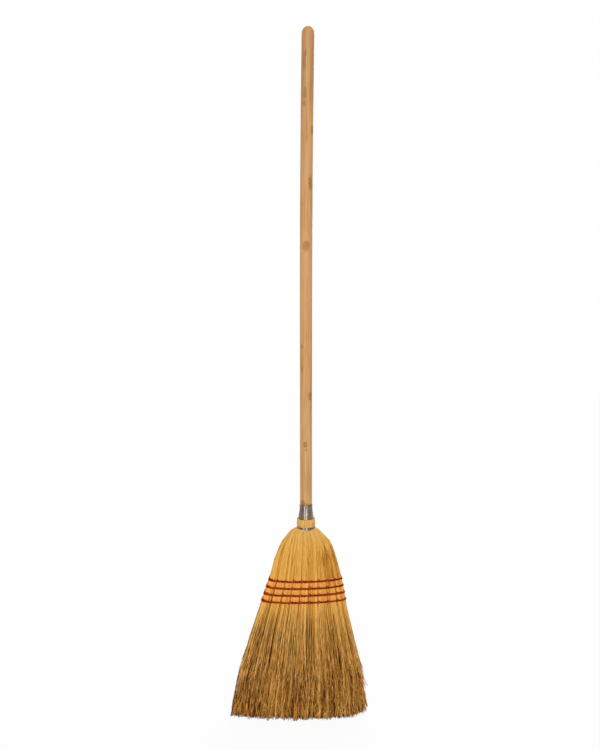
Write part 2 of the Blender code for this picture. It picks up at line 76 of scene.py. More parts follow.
# Knots, with a dark ring, and then scars and stains: height, place across the front and
# half the width and height, in millimetres, and how dark it is
KNOTS = (
    (1260, 14, 5, 14, 0.9),
    (1079, 24.2, 5.4, 19, 1),
    (951, 15.6, 8.5, 13, 0.95),
    (647, 23.4, 5.4, 11, 1),
    (549, 14.1, 5.2, 7.5, 1),
)
SCARS = (
    (1342, 14.8, 2.4, 11, 1),
    (1323, 12, 5, 26, 0.5),
    (1239, 11.7, 3.2, 8, 0.75),
    (1187, 28, 3.8, 12, 1),
    (748, 7, 4.5, 7, 0.4),
    (701, 7, 4.5, 8, 0.4),
    (538, 15.3, 2.4, 3.6, 0.75),
    (430, 9, 7, 8.5, 0.8),
    (428.2, 16.8, 2.8, 2.8, 1),
)


def put_in(tree, node, links):
    """Each (input, value or socket) of links, put into a node."""
    for name, value in links:
        if isinstance(value, bpy.types.NodeSocket):
            tree.links.new(value, node.inputs[name])
        else:
            node.inputs[name].default_value = value


def new_material(name, roughness, metallic=0.0):
    """A material with one Principled shader, its node tree and that shader."""
    material = bpy.data.materials.new(name)
    material.use_nodes = True
    tree = material.node_tree
    shader = tree.nodes["Principled BSDF"]
    put_in(tree, shader, [("Roughness", roughness), ("Metallic", metallic)])
    return material, tree, shader


def add_node(tree, kind, links=(), **settings):
    """A node with its settings and links put in."""
    node = tree.nodes.new("ShaderNode" + kind)
    for name, value in settings.items():
        setattr(node, name, value)
    put_in(tree, node, links)
    return node


def add_ramp(tree, factor, *stops):
    """A colour ramp over factor, with a stop for each (place, colour)."""
    ramp = add_node(tree, "ValToRGB", [("Fac", factor)])
    elements = ramp.color_ramp.elements
    while len(elements) < len(stops):
        elements.new(0.5)
    for element, (place, colour) in zip(elements, stops):
        element.position = place
        element.color = (*colour, 1.0)
    return ramp.outputs["Color"]


def mix_colours(tree, factor, first, second, blend="MIX"):
    """The second colour laid over the first one by factor."""
    first, second = ((*value, 1.0) if isinstance(value, tuple) else value for value in (first, second))
    links = [(0, factor), (6, first), (7, second)]
    return add_node(tree, "Mix", links, data_type="RGBA", blend_type=blend).outputs[2]


def reckon(tree, operation, *values):
    """The result of a sum on numbers or sockets."""
    return add_node(tree, "Math", enumerate(values), operation=operation).outputs[0]


def multiply(tree, first, second):
    return reckon(tree, "MULTIPLY", first, second)


def spread_range(tree, value, low, high, new_low=0.0, new_high=1.0):
    """Value moved from one range to another, and held inside it."""
    names = ("Value", "From Min", "From Max", "To Min", "To Max")
    return add_node(tree, "MapRange", zip(names, (value, low, high, new_low, new_high))).outputs["Result"]


def add_noise(tree, place, scale, detail, *more):
    """The outputs of a noise texture over place, with scale in grains a metre."""
    links = [("Vector", place), ("Scale", scale), ("Detail", detail), *more]
    return add_node(tree, "TexNoise", links).outputs


def along(tree, place, axis):
    """How far place lies along an axis."""
    return add_node(tree, "SeparateXYZ", [("Vector", place)]).outputs[axis]


def add_bump(tree, shader, height, strength, distance):
    bump = add_node(tree, "Bump", [("Height", height), ("Strength", strength), ("Distance", distance)])
    put_in(tree, shader, [("Normal", bump.outputs["Normal"])])


def object_place(tree):
    return add_node(tree, "TexCoord").outputs["Object"]


def dress(nodes, material):
    """Give CAD nodes a material in place of their plain one."""
    for name in nodes:
        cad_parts[name].material_slots[0].material = material


wood, tree, shader = new_material("handle_wood", 0.48)
place = object_place(tree)
along_grain = add_node(tree, "Mapping", [
    ("Vector", place),
    ("Location", (-HANDLE_X, 0.0, 0.0)),
    ("Scale", (1.0, 1.0, GRAIN_STRETCH)),
]).outputs[0]
grain = add_noise(tree, along_grain, GRAIN_SCALE, 6.0, ("Roughness", 0.62), ("Distortion", 0.25))["Fac"]
broad = add_noise(tree, along_grain, GRAIN_SCALE / 4, 2.0)["Fac"]
tint_place = add_node(tree, "Mapping", [("Vector", place), ("Scale", (1.6, 1.6, 0.5))])
tint = add_noise(tree, tint_place.outputs[0], TINT_SCALE, 3.0)["Fac"]
colour = add_ramp(tree, grain, (0.3, WOOD_GRAIN), (0.46, WOOD_WARM), (0.62, WOOD_PALE))
colour = mix_colours(tree, spread_range(tree, broad, 0.36, 0.6, 0.15, 0.8), colour, WOOD_PALE)
colour = mix_colours(tree, spread_range(tree, tint, 0.5, 0.72, 0.0, 0.75), colour, WOOD_WARM)
colour = mix_colours(tree, spread_range(tree, tint, 0.5, 0.32, 0.0, 0.6), colour, WOOD_PINK)
handled = spread_range(tree, along(tree, place, "Z"), 0.0, HANDLE_TOP)
tints = add_ramp(tree, handled, *((level / HANDLE_TOP, shade) for level, shade in WOOD_TINTS))
colour = mix_colours(tree, 1.0, colour, tints, "MULTIPLY")
handle_points = np.array([vertex.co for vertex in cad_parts["handle"].data.vertices])
handle_bow = np.polyfit(handle_points[:, 2], handle_points[:, 0], 4)
fuzz = add_noise(tree, place, MARK_FUZZ_SCALE, 2.0)
blur = spread_range(tree, fuzz["Fac"], 0.3, 0.6, 0.5, 1.0)
astray = add_node(tree, "VectorMath", [(0, fuzz["Color"]), (1, (0.5, 0.5, 0.5))], operation="SUBTRACT")
for marks, mark_colour, stops in (
    (KNOTS, WOOD_KNOT, ((0.0, 0.0), (0.28, 0.45), (0.42, 1.0), (0.6, 0.45), (0.82, 0.95))),
    (SCARS, WOOD_SCAR, ((0.05, 0.0), (0.55, 1.0))),
):
    for height, across, half_width, half_height, darkness in marks:
        aside = across * MM - np.polyval(handle_bow, height * MM)
        forwards = math.sqrt(HANDLE_R ** 2 - min(abs(aside), 0.95 * HANDLE_R) ** 2)
        spot = add_node(tree, "Mapping", [
            ("Vector", place),
            ("Location", (across * MM, -forwards, height * MM)),
            ("Scale", (half_width * MM, half_width * MM * 2, half_height * MM)),
        ], vector_type="TEXTURE").outputs[0]
        spot = add_node(tree, "VectorMath", [(0, astray.outputs[0]), (1, (1.2, 1.2, 1.2)), (2, spot)],
                        operation="MULTIPLY_ADD").outputs[0]
        ball = add_node(tree, "TexGradient", [("Vector", spot)], gradient_type="SPHERICAL").outputs["Fac"]
        mark = add_ramp(tree, ball, *((at, (share * darkness,) * 3) for at, share in stops))
        colour = mix_colours(tree, multiply(tree, mark, blur), colour, mark_colour)
roughness = spread_range(tree, grain, 0.3, 0.7, 0.58, 0.46)
put_in(tree, shader, [("Base Color", colour), ("Roughness", roughness), ("Specular IOR Level", 0.38)])
add_bump(tree, shader, grain, 0.15, 0.4 * MM)
dress(["handle"], wood)

# Inner straw: short broomcorn butts laid side by side round the handle's buried end, and
# squeezed together where the inner wire ties them.
STRAW_TONES = 32
STRAW_LOTS = 8
STRAW_COLUMNS = STRAW_TONES * STRAW_LOTS
STRAND_MAP = "OFBake"
COLLAR_TOP = 398.2 * MM
BAND_TOP = 284 * MM
BAND_FOOT = 226 * MM
SHOULDER_STRAW = (
    (0, (0.19, 0.058, 0.004)),
    (0.05, (0.42, 0.168, 0.014)),
    (0.14, (0.64, 0.298, 0.04)),
    (0.5, (0.738, 0.375, 0.064)),
    (1, (0.815, 0.468, 0.118)),
)
SKIRT_STRAW = (
    (0, (0.036, 0.008, 0)),
    (0.12, (0.115, 0.03, 0)),
    (0.28, (0.28, 0.107, 0.012)),
    (0.5, (0.49, 0.225, 0.039)),
    (0.72, (0.725, 0.4, 0.087)),
    (1, (0.945, 0.63, 0.2)),
)
# Paler straw at the neck, partly a painted sheen where the top of the shoulder catches the light
NECK_STRAW_AND_SHEEN = (0.98, 1.11, 1.76)
STRAW_PINKISH = (1.0, 0.89, 1.0)
STRAW_GREENISH = (0.97, 1.0, 0.78)
# The skirt's tint by height, as a share of the collar's, partly painted light: the sewn band is made lighter
SKIRT_TINTS_AND_BAND_LIGHT = (
    (0, (0.98, 0.9, 0.83)),
    (0.05, (0.885, 0.805, 0.715)),
    (0.21, (0.86, 0.78, 0.73)),
    (0.36, (0.85, 0.82, 0.8)),
    (0.53, (0.91, 0.905, 0.88)),
    (0.59, (1.07, 1.04, 1.03)),
    (0.69, (1.07, 1.04, 1.03)),
    (0.74, (0.985, 0.995, 0.99)),
)
INNER_STALKS = 43
INNER_HEIGHTS = (397.6, 392, 384, 378, 371, 367, 363, 356, 349.6)
INNER_RINGS = (13.75, 13.8, 13.75, 13.7, 13.4, 13.25, 13.35, 13.6, 13.7)
INNER_RADII = (0.98, 1.0, 0.98, 0.95, 0.65, 0.5, 0.6, 0.85, 0.95)


def mm(*values):
    """Lengths in millimetres, as metres."""
    return np.array(values) * MM


def tube_mesh(lines, radii, tones, sides, turns):
    """Points, faces and map places of closed tubes along lines of points, one tone each."""
    count, rings = lines.shape[:2]
    run = np.gradient(lines, axis=1)
    run /= np.linalg.norm(run, axis=2, keepdims=True).clip(1e-9)
    aside = np.cross(run, (0.0, 1.0, 0.0))
    aside /= np.linalg.norm(aside, axis=2, keepdims=True).clip(1e-9)
    outwards = np.cross(aside, run)
    angles = turns[:, None, None] + math.tau * np.arange(sides) / sides
    ring = np.cos(angles)[..., None] * aside[:, :, None] + np.sin(angles)[..., None] * outwards[:, :, None]
    points = lines[:, :, None] + radii[..., None, None] * ring

    corner = np.arange(sides)
    first = np.arange(count)[:, None, None] * rings * sides
    low = first + np.arange(rings - 1)[:, None] * sides + corner
    after = first + np.arange(rings - 1)[:, None] * sides + (corner + 1) % sides
    quads = np.stack((low, low + sides, after + sides, after), axis=-1).reshape(-1, 4)
    start = first[:, 0] + corner
    end = first[:, 0] + (rings - 1) * sides + corner[::-1]

    column = ((0.5 + 0.5 * np.tanh(2.0 * (tones - 0.5))) * (STRAW_TONES - 1)).round()
    column += np.arange(count) % STRAW_LOTS * STRAW_TONES
    across = (column[:, None, None] + 0.2 + 0.6 * corner / (sides - 1)) / STRAW_COLUMNS
    height = points[..., 2] / COLLAR_TOP
    places = np.stack((np.broadcast_to(across, height.shape), height), axis=-1).reshape(-1, 2)
    return points.reshape(-1, 3), quads.tolist() + start.tolist() + end.tolist(), places


def add_object(name, data):
    """A new object of some data, put in the scene."""
    thing = bpy.data.objects.new(name, data)
    bpy.context.scene.collection.objects.link(thing)
    return thing


def piece_of_tubes(name, parts, material):
    """One mesh object of several lots of tubes, with a map that holds tone and height."""
    faces, total = [], 0
    for points, part_faces, _ in parts:
        faces += [[corner + total for corner in face] for face in part_faces]
        total += len(points)
    points, _, places = zip(*parts)
    mesh = bpy.data.meshes.new(name)
    mesh.from_pydata(np.concatenate(points), [], faces)
    corners = np.empty(len(mesh.loops), np.int32)
    mesh.loops.foreach_get("vertex_index", corners)
    layer = mesh.uv_layers.new(name=STRAND_MAP)
    layer.uv.foreach_set("vector", np.concatenate(places)[corners].astype(np.float32).ravel())
    mesh.shade_smooth()
    mesh.materials.append(material)
    return add_object(name, mesh)


straw, tree, shader = new_material("broomcorn", 0.62)
spot = add_node(tree, "UVMap", uv_map=STRAND_MAP).outputs["UV"]
strand, height = along(tree, spot, "X"), along(tree, spot, "Y")
tone = reckon(tree, "FRACT", multiply(tree, strand, STRAW_LOTS))
upper = add_ramp(tree, tone, *SHOULDER_STRAW)
lower = add_ramp(tree, tone, *SKIRT_STRAW)
colour = mix_colours(tree, spread_range(tree, height, 0.45, 0.66), lower, upper)
colour = mix_colours(tree, 1.0, colour, add_ramp(tree, height, *SKIRT_TINTS_AND_BAND_LIGHT), "MULTIPLY")
colour = mix_colours(tree, spread_range(tree, height, 0.86, 0.93), colour, NECK_STRAW_AND_SHEEN, "MULTIPLY")
column = reckon(tree, "FLOOR", multiply(tree, strand, STRAW_COLUMNS))
hue = add_node(tree, "TexWhiteNoise", [("W", column)], noise_dimensions="1D").outputs["Value"]
hue = add_ramp(tree, hue, (0.0, STRAW_PINKISH), (1.0, STRAW_GREENISH))
colour = mix_colours(tree, spread_range(tree, height, 0.5, 0.75, 1.0, 0.35), colour, hue, "MULTIPLY")
blotch_map = add_node(tree, "Mapping", [("Vector", spot), ("Scale", (STRAW_COLUMNS * 1.7, 34.0, 1.0))])
blotches = add_noise(tree, blotch_map.outputs[0], 1.0, 3.0)["Fac"]
swing = multiply(tree, spread_range(tree, blotches, 0.25, 0.75, -1.0, 1.0),
                 spread_range(tree, height, 0.16, 0.58, 1.0, 0.17))
shade = reckon(tree, "ADD", swing, 1.0)
shade = add_node(tree, "CombineXYZ", [("X", shade), ("Y", shade), ("Z", shade)]).outputs[0]
colour = mix_colours(tree, 1.0, colour, shade, "MULTIPLY")
put_in(tree, shader, [("Base Color", colour), ("Specular IOR Level", 0.12)])

chance = np.random.default_rng(11)
turn = math.tau * np.arange(INNER_STALKS) / INNER_STALKS
rings = mm(*INNER_RINGS)
lines = np.stack((
    HANDLE_X + rings * np.cos(turn)[:, None],
    rings * np.sin(turn)[:, None],
    np.broadcast_to(mm(*INNER_HEIGHTS), (INNER_STALKS, len(rings))),
), axis=-1)
radii = np.broadcast_to(mm(*INNER_RADII), (INNER_STALKS, len(rings)))
tones = chance.uniform(0.3, 0.8, INNER_STALKS)
stalks = tube_mesh(lines, radii, tones, 7, np.zeros(INNER_STALKS))
inner_stalks = piece_of_tubes("inner_stalks", [stalks], straw)
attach(inner_stalks, "root")
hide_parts("inner_straw")

# Inner wire: galvanised steel, gone dull. It ties the inner straw to the handle, under
# the cover straw.
ZINC_DARK = (0.136, 0.094, 0.062)
ZINC_MID = (0.28, 0.215, 0.15)
# Painted highlights: the lamps' reflections at the wire's front, and painted light at its left and right
# ends
ZINC_HIGHLIGHT = (0.52, 0.44, 0.325)
ZINC_EDGE_LIGHT = (0.38, 0.285, 0.19)
ZINC_PAINTED_GLINTS = ((-5 * MM, 2.7 * MM), (1.1 * MM, 2.1 * MM))


def off_middle(tree, place, across):
    """How far place lies from an upright line that is across from the handle's middle."""
    return reckon(tree, "ABSOLUTE", reckon(tree, "SUBTRACT", along(tree, place, "X"), HANDLE_X + across))


def paint_glints_and_edge_light(tree, place, colour, glints, streaks, highlight_colour, near, far, edge):
    """Painted highlights on metal: upright bright bands at the front where the lamps' reflections fall,
    broken by streaks, and painted light at its left and right ends, where a round piece catches light from
    the side."""
    wear_and_glint = 0.0
    for across, half in glints:
        band = spread_range(tree, off_middle(tree, place, across), half * 0.2, half, 1.0, 0.0)
        wear_and_glint = reckon(tree, "MAXIMUM", band, wear_and_glint)
    front = reckon(tree, "LESS_THAN", along(tree, place, "Y"), 0.0)
    wear_and_glint = multiply(tree, multiply(tree, wear_and_glint, front), streaks)
    colour = mix_colours(tree, wear_and_glint, colour, highlight_colour)
    aside = spread_range(tree, off_middle(tree, place, 0.0), near, far)
    return mix_colours(tree, aside, colour, edge)


zinc, tree, shader = new_material("galvanised_wire", 0.38, 1.0)
place = object_place(tree)
spangle = add_noise(tree, place, 420.0, 5.0)["Fac"]
colour = add_ramp(tree, spangle, (0.36, ZINC_DARK), (0.66, ZINC_MID))
streaks = spread_range(tree, spangle, 0.3, 0.5, 0.7, 1.0)
# Painted highlights at the front and painted light at both sides
colour = paint_glints_and_edge_light(tree, place, colour, ZINC_PAINTED_GLINTS, streaks, ZINC_HIGHLIGHT, 12 * MM, 18 * MM, ZINC_EDGE_LIGHT)
roughness = spread_range(tree, spangle, 0.3, 0.7, 0.58, 0.46)
put_in(tree, shader, [("Base Color", colour), ("Roughness", roughness)])
dress(["inner_wire"], zinc)

# Cover straw: broomcorn, laid round the handle in nine tufts a side. Thick stalks run up
# through the neck and are cut off under the cone. Below the stitching they break into
# fibres that hang together in locks, fray, and are cut off near the floor.
TUFTS = 9
ROW_HEIGHTS = mm(276, 262, 248, 234)
ROW_PITCH = 14 * MM
ROW_DIP = 0.8 * MM
MIDDLE_GAP = 0.2 * MM
EDGE_POWER = 2.3
EDGE_DEPTH_SHARE = 0.25
TUFT_CROWN = 0.9 * MM
GROOVE_DEPTH = 2 * MM
GROOVE_SHARPNESS = 7
# Sections of the head in millimetres: height, reach to the left and to the right of the
# handle, half depth, how round the section is, and the radius kept free for the handle
SECTIONS = np.array((
    (0, 152, 121.2, 26.5, 0, 0),
    (20.2, 149.8, 121.2, 26.1, 0, 0),
    (85.4, 136.9, 116.7, 24.6, 0, 0),
    (150.1, 118.8, 100.9, 22.3, 0, 0),
    (215.3, 96.6, 85, 19.7, 0, 0),
    (247.9, 85.6, 79.2, 19, 0, 0),
    (280.1, 74.2, 72.9, 19.7, 0, 0),
    (312.6, 65.8, 64.3, 22.2, 0.1, 12.7),
    (337, 56, 56.3, 23.7, 0.3, 14.5),
    (350.1, 49.2, 49.6, 23.7, 0.45, 15.6),
    (360, 41.6, 40.2, 22.8, 0.7, 15.6),
    (366.2, 36.9, 34, 21.8, 0.85, 15.6),
    (371.4, 32.6, 29.2, 20.4, 0.97, 15.4),
    (374.4, 28.4, 25.6, 19, 1, 15.1),
    (377, 23, 21.2, 17.8, 1, 15.1),
    (378.4, 17.4, 17.4, 17.2, 1, 15.1),
    (381.4, 17.1, 17.1, 17.1, 1, 15.1),
    (387.1, 19, 19, 19, 1, 16.6),
    (398.2, 17.9, 17.9, 17.9, 1, 16.6),
)).T


def smooth_step(value, low, high):
    share = ((value - low) / (high - low)).clip(0.0, 1.0)
    return share * share * (3 - 2 * share)


def head_place(z, place, sunk, side):
    """Points of one side of the head: place runs from -1 at the left end to 1 at the
    right, sunk is how far they lie under the head's face, and side is -1 at the front."""
    left, right, depth, roundness, bore = (np.interp(z, SECTIONS[0] * MM, row) for row in SECTIONS[1:])
    left, right, depth, bore = left * MM, right * MM, depth * MM, bore * MM
    middle, half = (right - left) / 2, (right + left) / 2
    angle = place * math.pi / 2
    flat_x = middle + half * place
    bulge = (1.0 - np.abs(place) ** EDGE_POWER).clip(0.0) ** (1 / EDGE_POWER)
    flat_y = depth * (EDGE_DEPTH_SHARE + (1.0 - EDGE_DEPTH_SHARE) * bulge)
    across = (place + 1.0) / 2 * TUFTS % 1.0
    swell = 4 * across * (1.0 - across)
    sewn = smooth_step(z, BAND_FOOT - 60 * MM, BAND_FOOT)
    sewn = sewn * (1.0 - smooth_step(z, BAND_TOP, BAND_TOP + 26 * MM))
    tied = smooth_step(z, BAND_FOOT, ROW_HEIGHTS[3]) * (1.0 - smooth_step(z, ROW_HEIGHTS[0], BAND_TOP))
    dip = ROW_DIP * tied * (0.5 + 0.5 * np.cos(math.tau * (z - ROW_HEIGHTS[0]) / ROW_PITCH))
    groove = GROOVE_DEPTH * sewn * (1.0 - swell) ** GROOVE_SHARPNESS
    outer_x = flat_x + (middle + half * np.sin(angle) - flat_x) * roundness
    outer_y = flat_y + (depth * np.cos(angle) - flat_y) * roundness
    outer_y = outer_y + (TUFT_CROWN * swell * sewn - dip) * (1.0 - roundness) - groove
    inner_x = flat_x + (bore * np.sin(angle) - flat_x) * roundness
    inner_y = np.sqrt((bore ** 2 - flat_x ** 2).clip(0.0))
    inner_y = inner_y + (bore * np.cos(angle) - inner_y) * roundness
    length = np.hypot(outer_x - inner_x, outer_y - inner_y)
    share = (sunk / length.clip(MM)).clip(-2.0, 0.96)
    x = outer_x + (inner_x - outer_x) * share
    y = outer_y + (inner_y - outer_y) * share
    return HANDLE_X + x, side * (y + MIDDLE_GAP)


STALKS = 5
FIBRE_START = mm(379.6, 378.4, 377, 374.4)
SHOULDER_LEVELS = mm(
    371.4, 366.2, 360, 350.1, 337, 312.6, 290, 276, 262, 248, 234)
STALK_LEVELS = mm(398.2, 393.5, 387.1, 384, 381.4, 379, 376.6, 374.4)
SKIRT_RINGS = 14
LOCK_ROWS = ((9, 15, 0.0), (8, 13, 2.4), (6, 11, 5.0))
WISPS = 3
LEFT_RISE = 0.5 * MM
RIGHT_RISE = 9.5 * MM
END_KEEP = 0.985
# Weathering over the front, and painted light at both ends of the head, whose sides face
# away from the lamps: place across the head, half width and how much lighter
WEATHERING_AND_END_LIGHT = (
    (-0.66, 0.06, 0.14),
    (-0.54, 0.04, -0.3),
    (-0.37, 0.04, 0.22),
    (-0.2, 0.03, 0.06),
    (-0.11, 0.05, -0.2),
    (-0.04, 0.03, -0.34),
    (0.04, 0.03, 0.1),
    (0.125, 0.03, -0.08),
    (0.22, 0.05, -0.22),
    (0.3, 0.03, 0.16),
    (0.38, 0.04, 0.14),
    (0.54, 0.06, -0.3),
    (0.63, 0.05, -0.38),
    (0.75, 0.05, -0.12),
    # Painted light: the head's ends, shaded where they face away from the lamps, made lighter
    (-1, 0.05, 0.4),
    (1, 0.05, 0.4),
)


def weathering_and_end_light(tuft, across, side):
    """How much lighter straws across a tuft are at the front: weathering, and painted light at the head's
    ends.
    """
    place = 2 * (tuft + across) / TUFTS - 1
    lighter = sum(change * np.exp(-((place - middle) / half) ** 2) for middle, half, change in WEATHERING_AND_END_LIGHT)
    return lighter * (side < 0)


def tip_heights(across, tuft, uneven, chance):
    """Uneven tips, close to the floor in the middle and higher towards both ends."""
    place = 2 * (tuft + across) / TUFTS - 1
    rise = np.where(place < 0, LEFT_RISE * place ** 4, RIGHT_RISE * place ** 5)
    return (rise + uneven + MM * chance.random(len(across)) - 4.2 * MM).clip(0.3 * MM)


def straw_heights(upper, tips):
    """Heights of each straw: those of upper, then even steps down to its own tip."""
    shares = 1.0 - (1.0 - np.linspace(0.0, 1.0, SKIRT_RINGS + 1)[1:]) ** 1.25
    skirt = upper[-1] + (tips[:, None] - upper[-1]) * shares
    return np.concatenate((np.broadcast_to(upper, (len(tips), len(upper))), skirt), axis=1)


def waves(z, amplitude, lengths, starts):
    """A gentle sideways wave along each straw."""
    return amplitude[:, None] * np.sin(z / lengths[:, None] * math.tau + starts[:, None])


def lay_straws(z, tuft, across, sunk, aside, side):
    """Centre lines of straws at heights z in a tuft, kept inside the head's outline."""
    place = 2 * (tuft + across) / TUFTS - 1
    over = (np.abs(place) - 0.96).clip(0.0)
    place = np.sign(place) * (np.abs(place) - over + 0.04 * np.tanh(over / 0.04)) * END_KEEP
    inside = 1.0 - smooth_step(np.abs(place), 0.84, 1.0)
    x, y = head_place(z, place, sunk, side)
    x = x + aside * (0.35 + 0.65 * inside)
    low, high = cad_box[0][0] - 1.5 * MM, cad_box[1][0] + 1.5 * MM
    return np.stack((x.clip(low, high), y, z), axis=-1)


def any_turn(count, chance):
    return chance.uniform(0, 6.3, count)


def make_locks(tuft, side, count, chance):
    """Each lock's place in its tuft, how deep it hangs, its drift, wave, tone and tip."""
    across = (np.arange(count) + chance.uniform(0.15, 0.85, count)) / count
    likeness = np.array((0.3, 0.65, 0.3))
    return {
        "across": across,
        "width": 0.5 / count * chance.uniform(0.8, 1.25, count),
        "depth": chance.uniform(0.0, 2.8, count) * MM,
        "drift": chance.normal(0.0, 3.5, count) * MM,
        "wave": chance.uniform(0.5, 1.7, count) * MM,
        "length": chance.uniform(80, 170, count) * MM,
        "start": any_turn(count, chance),
        "tone": 0.51 + np.convolve(chance.uniform(-0.41, 0.41, count), likeness, "same") + weathering_and_end_light(
            tuft, across, side),
        "tip": chance.random(count) ** 2 * 8 * MM,
    }


def make_wisps(count, chance):
    """How each wisp that a lock splits into leaves it, waves and ends."""
    return {
        "drift": chance.normal(0.0, 2.2, count) * MM,
        "depth": chance.uniform(-0.5, 5.0, count) * MM,
        "wave": chance.uniform(0.3, 1.3, count) * MM,
        "length": chance.uniform(36, 80, count) * MM,
        "start": any_turn(count, chance),
        "tone": chance.normal(0.0, 0.42, count),
        "tip": chance.random(count) ** 1.5 * 6 * MM,
    }


def strands(lines, radii, tones, chance, sides=3):
    """Thin tubes, each with its corners turned by chance."""
    return tube_mesh(lines, radii, tones, sides, any_turn(len(lines), chance))


def hang_locks(tuft, side, locks, per_lock, depth, thick, chance):
    """The fibres of a row of locks, from the neck to their tips."""
    lock_count = len(locks["across"])
    number = np.repeat(np.arange(lock_count), per_lock)
    count = len(number)
    order = np.arange(count) % per_lock
    wisps = make_wisps(lock_count * WISPS, chance)
    lock = {key: values[number] for key, values in locks.items()}
    wisp = {key: values[number * WISPS + order * WISPS // per_lock] for key, values in wisps.items()}
    turn, reach = chance.uniform(0, math.tau, count), np.sqrt(chance.random(count))
    out_x, out_y = reach * np.cos(turn), reach * np.sin(turn)
    uneven = lock["tip"] + wisp["tip"] + reach ** 2 * 3 * MM * chance.random(count)
    tips = tip_heights(lock["across"], tuft, uneven, chance)
    z = straw_heights(np.concatenate((FIBRE_START, SHOULDER_LEVELS)), tips)
    free = smooth_step(-z, -BAND_FOOT, -BAND_FOOT + 80 * MM)
    fray = smooth_step(-z, -140 * MM, -20 * MM)
    fall = (1.0 - z / BAND_FOOT).clip(0.0)
    width = np.interp(z, mm(0, 50, 140, 226), (0.42, 0.42, 0.58, 1))
    slot = (order + chance.uniform(0, 1, count)) / per_lock - 0.5
    across = (number + 0.5 + slot)[:, None] / lock_count * (1 - free)
    across = across + free * (lock["across"][:, None] + (lock["width"] * out_x)[:, None] * width)
    aside = free * waves(z, lock["wave"], lock["length"], lock["start"])
    aside = aside + fall * lock["drift"][:, None] + fray * wisp["drift"][:, None]
    aside = aside + fray * waves(z, wisp["wave"], wisp["length"], wisp["start"])
    own_length = chance.uniform(45, 90, count) * MM
    aside = aside + free * waves(z, np.full(count, 0.4 * MM), own_length, any_turn(count, chance))
    radii = thick * chance.uniform(0.8, 1.25, count)[:, None] * np.interp(
        z, mm(0, 40, 226, 337, 374.4, 379), mm(0.32, 0.46, 0.6, 0.58, 0.3, 0.15))
    sunk = depth + radii + (1 + out_y)[:, None] * (0.5 + 0.7 * free) * MM + free * lock["depth"][:, None]
    sunk = sunk + fray * wisp["depth"][:, None]
    lines = lay_straws(z, tuft, across, sunk, aside, side)
    return lines, radii, lock["tone"] + wisp["tone"] + chance.normal(0.0, 0.17, count)


def lone_straws(tuft, side, across, slants, tips, sunk, thick, chance, top=SHOULDER_LEVELS[3]):
    """Single straws on the head's face that slant as they go down."""
    count = len(across)
    z = straw_heights(SHOULDER_LEVELS[SHOULDER_LEVELS <= top], tips)
    fall = (1.0 - z / BAND_FOOT).clip(0.0)
    wave, length = chance.uniform(0.2, 0.9, count) * MM, chance.uniform(60, 140, count) * MM
    aside = smooth_step(fall, 0.0, 0.4) * waves(z, wave, length, any_turn(count, chance))
    radii = thick[:, None] * np.interp(
        z, mm(0, 60, 226, 337, 350.2, 371.4), mm(0.35, 0.7, 1, 0.8, 0.6, 0.25))
    radii = radii * np.interp(np.linspace(0.0, 1.0, z.shape[1]), (0.55, 1.0), (1.0, 0.3))
    slanting = across[:, None] + slants[:, None] * fall ** 1.3
    return lay_straws(z, tuft, slanting, sunk + radii, aside, side), radii


def branch_off(lines, tones, count, rings, high, reach, radius, chance):
    """Fine branches that leave their straw in the skirt and bend away from it."""
    owners = chance.integers(0, len(lines), count)
    last = lines.shape[1] - 1
    start = last - chance.uniform(1.5, high, count)
    stop = (start + chance.uniform(1.8, 5.0, count)).clip(max=last)
    share = np.linspace(0.0, 1.0, rings)
    ring = start[:, None] + (stop - start)[:, None] * share
    low = np.floor(ring).astype(int).clip(0, last - 1)
    past = (ring - low)[..., None]
    found = lines[owners[:, None], low] * (1 - past) + lines[owners[:, None], low + 1] * past
    bend = chance.normal(0.0, 1.0, (count, 2)) * reach
    curl = chance.normal(0.0, 0.22, (count, 2)) * reach
    for axis, part in ((0, 1.0), (1, 0.35)):
        away = bend[:, axis, None] * share ** 1.5 + curl[:, axis, None] * np.sin(share * math.pi * 2.2)
        found[:, :, axis] += away * part
    found[:, :, 2] = found[:, :, 2].clip(0.3 * MM)
    left, right = (np.interp(found[:, :, 2], SECTIONS[0] * MM, reach * MM) for reach in SECTIONS[1:3])
    found[:, :, 0] = found[:, :, 0].clip(HANDLE_X - left - 0.5 * MM, HANDLE_X + right + 1.2 * MM)
    found[:, :, 1] = found[:, :, 1].clip(cad_box[0][1] - MM, cad_box[1][1] + MM)
    radii = radius * (1.0 - 0.6 * share) * np.ones((count, 1))
    return strands(found, radii, tones[owners] + chance.normal(0.18, 0.36, count), chance)


def tuft_core(low, high, side):
    """The straw inside a tuft, as one closed body under the strands, given dark tones as painted shade."""
    heights = mm(366.2, 350.1, 337, 312.6, 284, 262, 240, 215, 150, 100, 60)
    across = np.linspace(low, high, 6)
    ring_place = np.concatenate((across, across[::-1]))
    size, last = len(ring_place), len(ring_place) * (len(heights) - 1)
    deep = np.repeat(mm(3.2, 60), size // 2)
    taper = np.interp(heights, (60 * MM, 150 * MM, 215 * MM), (8 * MM, 4 * MM, 0.0))
    z = heights[:, None] + np.zeros(size)
    x, y = head_place(z, np.broadcast_to(ring_place * END_KEEP, z.shape), deep + taper[:, None], side)
    points = np.stack((x, y, z), axis=-1).reshape(-1, 3)
    faces = []
    for first in range(0, last, size):
        for corner in range(size):
            low, after = first + corner, first + (corner + 1) % size
            faces.append([low, after, after + size, low + size][::side])
    faces += [list(range(size))[::-side], list(range(last, last + size))[::side]]
    # Painted shade: the body takes dark tones, so the gaps between the strands read dark
    tone = np.tile((2.0 + 0.7 * np.arange(size)) / STRAW_COLUMNS, len(heights))
    return points, faces, np.stack((tone, points[:, 2] / COLLAR_TOP), axis=-1)


